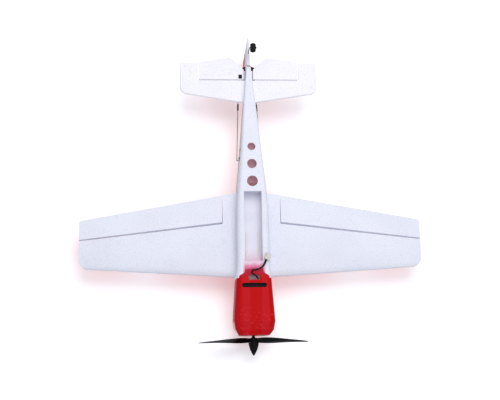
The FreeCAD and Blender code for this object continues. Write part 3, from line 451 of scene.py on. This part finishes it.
MATERIALS = {
    "fuselage": foam("foam_fuselage", fuselage_paint),
    "wing": foam("foam_wing", wing_paint),
    # the tail foam is a brighter white than the rest: a painted highlight for the extra light its surfaces
    # catch
    "tail": foam("foam_tail", tail_paint, (241, 239, 246), (237, 235, 243)),
    "fin": foam("foam_fin", fin_paint),
    "cowl": cowl_skin(),
    "canopy": canopy_skin(),
    "black": plastic("black_nylon", (12, 9, 12), 0.45, shine=0.12),
    "gloss_black": plastic("black_gloss_nylon", (9, 8, 11), 0.38, 0.2, (38, 37, 42), 0.1),
    "white": plastic("white_nylon", (226, 224, 218), 0.4, 0.4, (240, 240, 240)),
    "plug": plastic("plug_nylon", (222, 219, 214), 0.45, 0.5, (236, 232, 226)),
    "black_wire": plastic("black_coated_wire", (16, 15, 18), 0.45, 0.6, (52, 52, 58), 0.15),
    "bay": bay_foam(),
    "liner": liner_foam(),
    "neck_shade_film": neck_shade_film(),
    "steel": metal("steel_wire", (176, 178, 184)),
    "aluminium": metal("turned_aluminium", (206, 208, 212), 0.32, (1, 14, 1)),
    "copper": windings(),
    "plywood": plywood(),
    "circuit": circuit(),
    "carbon": carbon(),
    "cable": sleeve("silicone_cable", (12, 11, 15)),
    "shrink": sleeve("heat_shrink", (13, 12, 18), 1.6 * MM),
    "blue_shrink": sleeve("controller_shrink", (24, 40, 92), 2.2 * MM),
    "tape": fleece("foam_tape", (232, 230, 226), 0.9 * MM),
    "loop": fleece("loop_tape", (236, 230, 232), 0.8 * MM),
    "film": film(),
    "rubber": rubber(),
}

LOOKS = {
    "fuselage": ("fuselage_left", "fuselage_right"),
    "wing": ("wing_left", "wing_right", "aileron_left", "aileron_right"),
    "tail": ("stabiliser", "elevator_left", "elevator_right"),
    "fin": ("fin", "rudder"),
    "cowl": ("cowl",),
    "canopy": ("canopy",),
    "black": ("gear_socket", "elevator_horn", "rudder_horn", "elevator_servo", "rudder_servo",
              "aileron_servo_left", "aileron_servo_right", "tail_wheel_hub", "tail_wheel_collar",
              "elevator_joiner"),
    "gloss_black": ("propeller", "spinner"),
    "white": ("aileron_horn_left", "aileron_horn_right", "aileron_arm_left", "aileron_arm_right",
              "elevator_arm", "rudder_arm"),
    "bay": ("battery_tray",),
    "steel": ("motor_screws", "servo_screws", "motor_bearings"),
    "black_wire": ("tail_wheel_leg", "elevator_pushrod", "rudder_pushrod", "aileron_pushrod_left",
                   "aileron_pushrod_right", "motor_shaft"),
    "aluminium": ("motor_bell",),
    "copper": ("motor_stator",),
    "plywood": ("firewall", "equipment_shelf"),
    "circuit": ("receiver_board",),
    "carbon": ("wing_spar",),
}


def coat(thing, material):
    thing.data.materials.clear()
    thing.data.materials.append(material)


for look_name, members in LOOKS.items():
    for member in members:
        coat(nodes[member], MATERIALS[look_name])


# ---------------------------------------------------------------- mesh helpers
def piece(name, form, material, body, slot, *stands_for):
    """Turns a bmesh into a piece that rides on a body and stands for any CAD nodes named."""
    bmesh.ops.recalc_face_normals(form, faces=form.faces)
    data = bpy.data.meshes.new(name)
    form.to_mesh(data)
    form.free()
    for face in data.polygons:
        face.use_smooth = True
    made = bpy.data.objects.new(name, data)
    bpy.context.scene.collection.objects.link(made)
    coat(made, material)
    if body:
        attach(made, body)
    if stands_for:
        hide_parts(*stands_for)
    return made


def smooth_path(points, steps):
    """A Catmull-Rom curve through points, with a number of steps to each span."""
    points = [Vector(point) for point in points]
    ends = [points[0] * 2 - points[1], *points, points[-1] * 2 - points[-2]]
    path = []
    for a, b, c, d in zip(ends, ends[1:], ends[2:], ends[3:]):
        for step in range(steps):
            t = step / steps
            path.append(0.5 * (2 * b + (c - a) * t + (2 * a - 5 * b + 4 * c - d) * t ** 2
                               + (3 * b - a - 3 * c + d) * t ** 3))
    path.append(points[-1])
    return path


def frames(path):
    """Two directions square to the path at each of its points, without twist."""
    side = Vector((0.31, 0.2, 0.93))
    found = []
    for index in range(len(path)):
        ahead = path[min(index + 1, len(path) - 1)] - path[max(index - 1, 0)]
        ahead.normalize()
        side = (side - ahead * side.dot(ahead)).normalized()
        found.append((side, ahead.cross(side)))
    return found


def skin(form, rings, closed=True):
    """Joins rows of points with faces, and caps a closed tube's two ends."""
    rows = [[form.verts.new(point) for point in ring] for ring in rings]
    count = len(rows[0])
    for first, second in zip(rows, rows[1:]):
        for index in range(count if closed else count - 1):
            after = (index + 1) % count
            form.faces.new((first[index], first[after], second[after], second[index]))
    if closed:
        form.faces.new(rows[0])
        form.faces.new(rows[-1])
    return rows


def tube(form, path, radius, sides=10):
    """A round tube along a path; the radius is a number or a function of the share of the way along."""
    rings = []
    last = len(path) - 1
    for index, (point, (side, other)) in enumerate(zip(path, frames(path))):
        reach = radius(index / last) if callable(radius) else radius
        angles = [2 * math.pi * turn / sides for turn in range(sides)]
        rings.append([point + (side * math.cos(a) + other * math.sin(a)) * reach for a in angles])
    skin(form, rings)


def pillow(form, low, high, crown, pull, columns=14, rows=18):
    """A soft slab: both faces crowned, sides bulged, and edges drawn in between the corners."""
    middle, half = (low + high) / 2, (high - low) / 2

    def point(u, v, face):
        rim = (1 - abs(u) ** 5) * (1 - abs(v) ** 5)
        inward = 1 - pull * (1 - u * u) * abs(v) ** 6 - pull * (1 - v * v) * abs(u) ** 6
        height = (1 - crown) * rim ** 0.5 + crown * (1 - u * u) * (1 - v * v)
        return middle + Vector((u * half.x * inward, v * half.y * inward, face * half.z * height))

    for face in (-1, 1):
        rings = [[point(-1 + 2 * i / columns, -1 + 2 * j / rows, face) for i in range(columns + 1)]
                 for j in range(rows + 1)]
        skin(form, rings, closed=False)
    bmesh.ops.remove_doubles(form, verts=form.verts, dist=1e-7)


def revolve(form, outline, place, axis, turns, shape=lambda turn, radius: radius):
    """Spins an outline of (radius, along) pairs about an axis; shape may change the radius with the turn."""
    quarter = axis.to_track_quat("Z", "Y").to_matrix()
    rings = []
    for turn in range(turns):
        angle = 2 * math.pi * turn / turns
        spoke = quarter @ Vector((math.cos(angle), math.sin(angle), 0))
        rings.append([place + spoke * shape(turn, radius) + axis * along for radius, along in outline])
    rows = [[form.verts.new(point) for point in ring] for ring in rings]
    count = len(outline)
    for first, second in zip(rows, rows[1:] + rows[:1]):
        for index in range(count):
            after = (index + 1) % count
            form.faces.new((first[index], first[after], second[after], second[index]))


# ---------------------------------------------------------------- hinge films
joints = {joint["name"]: joint for joint in frame["joints"]}
FILM_REACH = 4.6 * MM  # how far each film goes into the foam on either side of the hinge line
FILM_STEPS = 12
FILM_SECTION = ((-1, -0.7), (-0.93, -1), (0.93, -1), (1, -0.7), (1, 0.7), (0.93, 1), (-0.93, 1), (-1, 0.7))
AFT = Vector((0, 1, 0))


def hinge_films(name, joint_name, spots, node):
    """Thin strips let into both sides of a hinge line, at spots along its axis in millimetres."""
    joint = joints[joint_name]
    pivot, axis = Vector(joint["pos_m"]), Vector(joint["axis"])
    flat = axis.cross(AFT).normalized()
    across = flat.cross(axis).normalized()
    form = bmesh.new()
    for spot in spots:
        centre_line = pivot + axis * spot * MM
        rings = []
        for step in range(FILM_STEPS + 1):
            share = 2 * step / FILM_STEPS - 1
            half = (3.0 - 0.9 * abs(share) ** 8) * MM
            thick = (0.19 - 0.1 * math.exp(-(share * 7) ** 2)) * MM
            level = centre_line + across * share * FILM_REACH
            rings.append([level + axis * a * half + flat * b * thick for a, b in FILM_SECTION])
        skin(form, rings)
    films = piece(name, form, MATERIALS["film"], None, "clear_film", node)
    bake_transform(films)


for side in ("left", "right"):
    hinge_films(f"aileron_films_{side}", f"aileron_{side}_hinge", (-20, 56, 132), f"aileron_hinges_{side}")
hinge_films("elevator_films", "elevator_hinge", (-52, -22, 22, 52), "elevator_hinges")
rudder_pivot = Vector(joints["rudder_hinge"]["pos_m"]).z / MM
hinge_films("rudder_films", "rudder_hinge", (44 - rudder_pivot, 70 - rudder_pivot), "rudder_hinges")


# ---------------------------------------------------------------- battery bay
socket = Vector((socket_middle.x, socket_middle.y, 0))


def from_socket(*places):
    """Points given in millimetres from the landing gear socket's seat."""
    return [socket + Vector(place) * MM for place in places]


lead_path = smooth_path(from_socket((0, -5.4, 15.6), (-3.5, 3, 12), (-5, 8, 3), (-2, 11, -4.1),
                                    (2.8, 14.8, -4.8), (1.6, 18.4, -4.8), (-5.6, 19.8, -4.8),
                                    (-11.2, 23.6, -5), (-15, 31, -5.2)), 12)
TWISTS = 5.5
WIRE_RADIUS = 0.56 * MM
WIRE_OFFSET = 0.5 * MM  # a little under the radius, so the two wires press together
SLEEVED = 16  # points of the lead under the shrink sleeve


def twisted_pair():
    """Two silicone wires wound round each other, under a shrink sleeve near the plug."""
    form = bmesh.new()
    sides = frames(lead_path)
    last = len(lead_path) - 1
    for phase in (0, math.pi):
        strand = []
        for index, (point, (side, other)) in enumerate(zip(lead_path, sides)):
            angle = phase + 2 * math.pi * TWISTS * index / last
            strand.append(point + (side * math.cos(angle) + other * math.sin(angle)) * WIRE_OFFSET)
        tube(form, strand, WIRE_RADIUS, 10)
    piece("battery_wires", form, MATERIALS["cable"], "airframe", "cable_black", "battery_lead")
    form = bmesh.new()

    def shrunk(share):
        shoulder = 0.16 * math.sin(math.pi * min(share * 5, 1) / 2)
        return (1.02 + shoulder + 0.04 * math.sin(share * 40)) * MM

    tube(form, lead_path[-SLEEVED:], shrunk, 16)
    piece("lead_sleeve", form, MATERIALS["shrink"], "airframe", "cable_black")


def plug_shell():
    """A two-pin plug housing, ribbed at the wires' end, with a chamfered nose open round its two contacts."""
    form = bmesh.new()
    turn = Matrix.Rotation(math.radians(24), 3, "Z")
    long, wide, deep = 8.0, 3.5, 2.0
    wall, mouth_depth = 0.35 * MM, 3.4 * MM
    rib_start, rib_pitch = 1.0, 0.7
    back = centre("battery_plug") - turn @ Vector((0, long / 2 * MM, 0))
    profile = [(0.0, 0.72), (0.3, 0.9), (0.8, 0.94)]
    for rib in range(4):
        start = rib_start + rib * rib_pitch
        profile += [(start, 0.94), (start + 0.15, 1.0), (start + 0.35, 1.0), (start + 0.5, 0.94)]
    profile += [(4.0, 0.94), (4.2, 0.985), (7.4, 0.985), (7.9, 0.93), (8.0, 0.86)]
    corners = [(1, 0.45), (0.93, 0.8), (0.78, 1), (0.35, 1), (0.3, 0.86), (-0.3, 0.86), (-0.35, 1),
               (-0.78, 1), (-0.93, 0.8), (-1, 0.45), (-1, -0.55), (-0.85, -1), (0.85, -1), (1, -0.55)]
    rings = [[back + turn @ (Vector((x * wide * scale, along, z * deep * scale)) * MM) for x, z in corners]
             for along, scale in profile]
    rows = skin(form, rings)
    nose = [face for face in form.faces if all(vert in rows[-1] for vert in face.verts)]
    bmesh.ops.inset_region(form, faces=nose, thickness=wall, depth=0)
    bmesh.ops.translate(form, verts=nose[0].verts, vec=turn @ Vector((0, -mouth_depth, 0)))
    piece("plug_housing", form, MATERIALS["plug"], "airframe", "white_plastic", "battery_plug")
    form = bmesh.new()
    for x in (-1.7, 1.7):
        contact = [back + turn @ (Vector((x, along, 0)) * MM) for along in (4.6, 5.2, 6.4, 7.6)]
        tube(form, contact, 0.75 * MM, 12)
    piece("plug_contacts", form, MATERIALS["steel"], "airframe", "steel")


def loop_strips():
    """Two hook-and-loop strips on the bay's roof, with a nap of small tufts on their open face."""
    form = bmesh.new()
    low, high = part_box("battery_tape")
    strip_wide = 3.2 * MM
    step = 0.4 * MM
    rows_long = round((high.y - low.y) / step)
    columns = 9
    for left in (low.x, high.x - strip_wide):
        rings = []
        for row in range(rows_long + 1):
            y = low.y + (high.y - low.y) * row / rows_long
            trim = 0.4 * MM if row in (0, rows_long) else 0
            ring = [Vector((left + trim, y, high.z))]
            for column in range(columns):
                x = left + trim + (strip_wide - 2 * trim) * column / (columns - 1)
                nap = random.uniform(0.0, 0.22) * MM if 0 < column < columns - 1 else 0.12 * MM
                ring.append(Vector((x, y + random.uniform(-0.08, 0.08) * MM, low.z + nap)))
            ring.append(Vector((left + strip_wide - trim, y, high.z)))
            rings.append(ring)
        skin(form, rings)
    piece("battery_straps", form, MATERIALS["loop"], "airframe", "clear_film", "battery_tape")


def neck_shade_sheet():
    """A thin grey film behind the neck's window, slit where the lead comes through; its grey is painted shade
    for the inside of the neck.
    """
    form = bmesh.new()
    columns, rows = 20, 14
    front, long, half_wide = 5.2, 9.6, 8.4
    rings = []
    for row in range(rows + 1):
        y = front + long * row / rows
        ring = []
        for column in range(columns + 1):
            x = -half_wide + 2 * half_wide * column / columns
            sag = 0.5 * math.cos(x * 0.24) * math.cos((y - 10) * 0.3) + 0.12 * math.sin(x * 1.7 + y)
            ring.append(socket + Vector((x, y, 0.7 - sag)) * MM)
        rings.append(ring)
    skin(form, rings, closed=False)
    passage = from_socket((-4.2, 9, 0.4))[0]
    slit = [vert for vert in form.verts if (vert.co - passage).length < 1.7 * MM]
    bmesh.ops.delete(form, geom=slit, context="VERTS")
    inside_painted_light = piece("neck_shade_sheet", form, MATERIALS["neck_shade_film"], "airframe", "foam_tape")
    inside_painted_light.modifiers.new("thickness", "SOLIDIFY").thickness = 0.12 * MM


def boom_liner():
    """A pale foam floor inside the hull under the two flank servos, seen through the belly's round vents."""
    form = bmesh.new()
    low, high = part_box("elevator_servo")
    front, back = low.y - 26 * MM, high.y + 8 * MM
    rings = []
    for row in range(25):
        share = row / 24
        y = front + (back - front) * share
        half = (9.5 - 4.5 * share) * MM
        level = low.z - (5.2 - 2.6 * share) * MM
        rings.append([Vector((half * (column / 6 - 1), y, level + 0.5 * MM * (column / 6 - 1) ** 2))
                      for column in range(13)])
    skin(form, rings, closed=False)
    liner = piece("boom_liner", form, MATERIALS["liner"], "airframe", "foam_white")
    liner.modifiers.new("thickness", "SOLIDIFY").thickness = 0.8 * MM


twisted_pair()
plug_shell()
boom_liner()
loop_strips()
neck_shade_sheet()


# ---------------------------------------------------------------- inside the hull and cowl
def receiver_foam():
    low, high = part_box("receiver_pad")
    form = bmesh.new()
    pillow(form, low, high, 0.15, 0.04)
    piece("receiver_foam", form, MATERIALS["tape"], "airframe", "foam_tape", "receiver_pad")


def wrapped_controller():
    """A circuit board in shrink wrap: the film dips between the parts beneath it and gathers at its ends."""
    low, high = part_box("speed_controller")
    middle, half = (low + high) / 2, (high - low) / 2
    form = bmesh.new()
    rings = []
    lumps = [(random.uniform(-0.7, 0.7), random.uniform(-0.8, 0.8)) for _ in range(7)]
    rows, columns = 40, 32
    for row in range(rows + 1):
        v = 2 * row / rows - 1
        gather = 1 - 0.3 * abs(v) ** 14 - 0.03 * math.sin(row * 1.9) * abs(v) ** 3
        ring = []
        for column in range(columns):
            angle = 2 * math.pi * column / columns
            c, s = math.cos(angle), math.sin(angle)
            u = math.copysign(abs(c) ** 0.35, c)
            w = math.copysign(abs(s) ** 0.55, s)
            rise = max([math.exp(-((u - a) ** 2 + (v - b) ** 2) * 14) for a, b in lumps])
            w *= 0.72 + 0.28 * rise
            ring.append(middle + Vector((u * half.x * gather, v * half.y, w * half.z * gather)))
        rings.append(ring)
    skin(form, rings)
    piece("controller_wrap", form, MATERIALS["blue_shrink"], "airframe", "shrink_wrap", "speed_controller")


def motor_leads():
    """Three silicone leads from the windings to the controller, each with a shrunk sleeve over its joint."""
    low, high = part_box("motor_wires")
    form, wraps = bmesh.new(), bmesh.new()
    for lane in (-1, 0, 1):
        x = (low.x + high.x) / 2 + lane * ((high.x - low.x) / 2 - 0.7 * MM)
        shares = ((0, 0.9), (0.2, 0.35), (0.5, 0.2), (0.85, 0.2), (1, 0.38))
        path = smooth_path([(x, low.y + (high.y - low.y) * a, low.z + (high.z - low.z) * b)
                            for a, b in shares], 8)
        tube(form, path, 0.6 * MM, 10)
        tube(wraps, path[14:24], lambda share: (0.66 + 0.2 * math.sin(math.pi * share) ** 0.5) * MM, 12)
    piece("motor_leads", form, MATERIALS["cable"], "airframe", "cable_black", "motor_wires")
    piece("motor_lead_sleeves", wraps, MATERIALS["shrink"], "airframe", "shrink_wrap")


def antenna_wire():
    """A thin coaxial aerial with a bared, thinner tip."""
    low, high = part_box("antenna")
    x = (low.x + high.x) / 2
    long, tall = high.y - low.y, high.z - low.z
    shares = ((0.2, 0, 0.05), (0.3, 0.25, 0.12), (-0.3, 0.6, 0.5), (0.25, 1, 0.95))
    path = smooth_path([(x + a * MM, low.y + b * long, low.z + c * tall) for a, b, c in shares], 14)
    form = bmesh.new()
    tube(form, path, lambda share: (0.45 if share < 0.72 else 0.24) * MM, 10)
    piece("aerial", form, MATERIALS["cable"], "airframe", "cable_black", "antenna")


receiver_foam()
wrapped_controller()
motor_leads()
antenna_wire()


# ---------------------------------------------------------------- tail wheel
def tread_tyre():
    """A small moulded tyre with a rounded crown, cross grooves and a bead ring on each wall."""
    low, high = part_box("tail_wheel_tyre")
    middle, half = (low + high) / 2, (high - low) / 2
    radius, wide = half.z, half.x
    outline = [(0.57, -0.79), (0.66, -0.93), (0.7, -0.87), (0.78, -1.0), (0.86, -0.93), (0.93, -0.7),
               (0.975, -0.45), (1.0, -0.2), (1.0, 0.2), (0.975, 0.45), (0.93, 0.7), (0.86, 0.93), (0.78, 1.0),
               (0.7, 0.87), (0.66, 0.93), (0.57, 0.79)]
    groove_depth, groove_spacing = 0.22 * MM, 4

    def tread(turn, reach):
        grooved = turn % groove_spacing == 0 and reach > 0.9 * radius
        return reach - (groove_depth if grooved else 0)

    form = bmesh.new()
    scaled = [(a * radius, b * wide) for a, b in outline]
    revolve(form, scaled, middle, Vector((1, 0, 0)), 96, tread)
    piece("tread_tyre", form, MATERIALS["rubber"], "tail_wheel", "tyre_black", "tail_wheel_tyre")


tread_tyre()


# ---------------------------------------------------------------- canopy frame
HOOP_SECTION = ((-1.1, -0.3), (-0.9, 0.3), (0.9, 0.3), (1.1, -0.3))


def canopy_hoops():
    """Two thin raised frame bars laid across the canopy."""
    source = nodes["canopy"].data
    tree = BVHTree.FromPolygons([vert.co[:] for vert in source.vertices],
                                [face.vertices[:] for face in source.polygons])
    middle = (canopy_low + canopy_high) / 2
    half = (canopy_high - canopy_low) / 2
    outside = 80 * MM  # a start for the rays well clear of the canopy
    proud = 0.05 * MM

    def on_canopy(y, angle):
        """The point on the canopy's outside at this station and angle, and the direction out of it."""
        axis_point = Vector((middle.x, y, canopy_low.z))
        outward = Vector((math.sin(angle), 0, math.cos(angle)))
        spot = tree.ray_cast(axis_point + outward * outside, -outward)[0]
        return spot, outward

    form = bmesh.new()
    for share in (-0.34, 0.3):
        y = middle.y + share * half.y * 1.2
        path = []
        for step in range(25):
            spot, outward = on_canopy(y, math.radians(-58 + 116 * step / 24))
            if spot:
                path.append(spot + outward * proud)
        rings = []
        for point in path:
            outward = Vector((point.x - middle.x, 0, point.z - canopy_low.z)).normalized()
            rings.append([point + AFT * a * MM + outward * b * MM for a, b in HOOP_SECTION])
        skin(form, rings)
    piece("canopy_hoops", form, MATERIALS["black"], "airframe", "canopy_smoke")


canopy_hoops()


# ---------------------------------------------------------------- stage, light and camera
def stage_floor(name, corner_points, material):
    """A pale sheet through three points, seen only by the camera and only from its front."""
    a, b, c = corner_points
    normal = (b - a).cross(c - a).normalized()
    turn = normal.to_track_quat("Z", "Y").to_matrix().to_4x4()
    sheet = bpy.data.meshes.new(name)
    floor = bpy.data.objects.new(name, sheet)
    half = 6.0
    outline = [(-half, -half, 0), (half, -half, 0), (half, half, 0), (-half, half, 0)]
    sheet.from_pydata(outline, [], [(0, 1, 2, 3)])
    bpy.context.scene.collection.objects.link(floor)
    floor.matrix_world = Matrix.Translation(a) @ turn
    coat(floor, material)


def floor_look():
    look = Look("studio_floor", 0.9, Emission_Color=(255, 255, 255), Emission_Strength=0.24)
    look.set("Base Color", look.mix(look.noise(0.5, 2), (250, 250, 252), (247, 248, 251)))
    geometry = look.add("NewGeometry", {})
    ray = look.add("LightPath", {})
    front = look.math("SUBTRACT", 1.0, geometry.outputs["Backfacing"])
    shown = look.math("MULTIPLY", front, ray.outputs["Is Camera Ray"])
    clear = look.add("BsdfTransparent", {})
    both = look.add("MixShader", {0: shown, 1: clear.outputs[0], 2: look.shader.outputs[0]})
    look.tree.links.new(both.outputs[0], look.tree.nodes["Material Output"].inputs["Surface"])
    return look.material


floor_material = floor_look()
clear_of = 0.4 * MM
canopy_top = Vector((0, centre("canopy").y, canopy_high.z + clear_of))
fin_top = Vector((0, fin_high.y, fin_high.z + clear_of))
sideways = Vector((0.1, 0, 0))
stage_floor("table_above", (canopy_top, fin_top, canopy_top + sideways), floor_material)
blade_low, blade_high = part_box("propeller")
lowest = Vector((0, 0, thrust_line - (blade_high.x - blade_low.x) / 2 - clear_of))
stage_floor("table_below", (lowest, lowest + sideways, lowest + Vector((0, 0.1, 0))), floor_material)


def softbox(name, place, power, size, tint=(255, 255, 255)):
    lamp = bpy.data.lights.new(name, "AREA")
    lamp.shape = "DISK"
    lamp.size = size
    lamp.energy = power
    lamp.color = colour(tint)[:3]
    rig = bpy.data.objects.new(name, lamp)
    rig.location = object_middle + Vector(place)
    rig.rotation_mode = "QUATERNION"
    rig.rotation_quaternion = (-Vector(place)).to_track_quat("-Z", "Y")
    bpy.context.scene.collection.objects.link(rig)


softbox("soft_belly", (-0.1, 0.75, -1.45), 13, 1.2)
softbox("soft_belly_fill", (-0.4, -0.6, -1.45), 4.5, 1.2, (242, 246, 255))
softbox("soft_top", (0.6, -0.7, 1.5), 14, 1.4)
softbox("soft_top_fill", (-0.9, 0.8, 1.1), 5, 1.2, (242, 246, 255))

world = bpy.data.worlds.new("studio")
world.use_nodes = True
bpy.context.scene.world = world
air = world.node_tree.nodes["Background"]
air.inputs["Color"].default_value = (0.94, 0.96, 1.0, 1)
air.inputs["Strength"].default_value = 0.6
backdrop = world.node_tree.nodes.new("ShaderNodeBackground")
backdrop.inputs["Color"].default_value = (1, 1, 1, 1)
backdrop.inputs["Strength"].default_value = 1.05
seen = world.node_tree.nodes.new("ShaderNodeLightPath")
choose = world.node_tree.nodes.new("ShaderNodeMixShader")
join = world.node_tree.links.new
join(seen.outputs["Is Camera Ray"], choose.inputs[0])
join(air.outputs[0], choose.inputs[1])
join(backdrop.outputs[0], choose.inputs[2])
join(choose.outputs[0], world.node_tree.nodes["World Output"].inputs["Surface"])

bpy.context.scene.view_settings.view_transform = "Standard"


def photographer():
    """A camera under the belly, a little ahead of the wing, leaning to the right side and rolled slightly."""
    lean_forward = math.radians(9.25)
    lean_side = math.radians(5.5)
    roll = math.radians(-1.1)
    distance = 1.5
    focal_length = 85.4
    aim = Vector((object_middle.x + 1.0 * MM, socket_middle.y + 110.1 * MM, thrust_line))
    away = Vector((-math.sin(lean_side) * math.cos(lean_forward), math.sin(lean_forward),
                   math.cos(lean_side) * math.cos(lean_forward)))
    up = Vector((0, 1, 0))
    up = (up - away * up.dot(away)).normalized()
    right = away.cross(up)
    turned_right = right * math.cos(roll) + up * math.sin(roll)
    turned_up = up * math.cos(roll) - right * math.sin(roll)
    lens = bpy.data.cameras.new("camera")
    lens.lens = focal_length
    lens.sensor_width = 36
    camera = bpy.data.objects.new("camera", lens)
    camera.matrix_world = Matrix((turned_right, turned_up, -away)).transposed().to_4x4()
    camera.location = aim - away * distance
    bpy.context.scene.collection.objects.link(camera)
    bpy.context.scene.camera = camera


photographer()
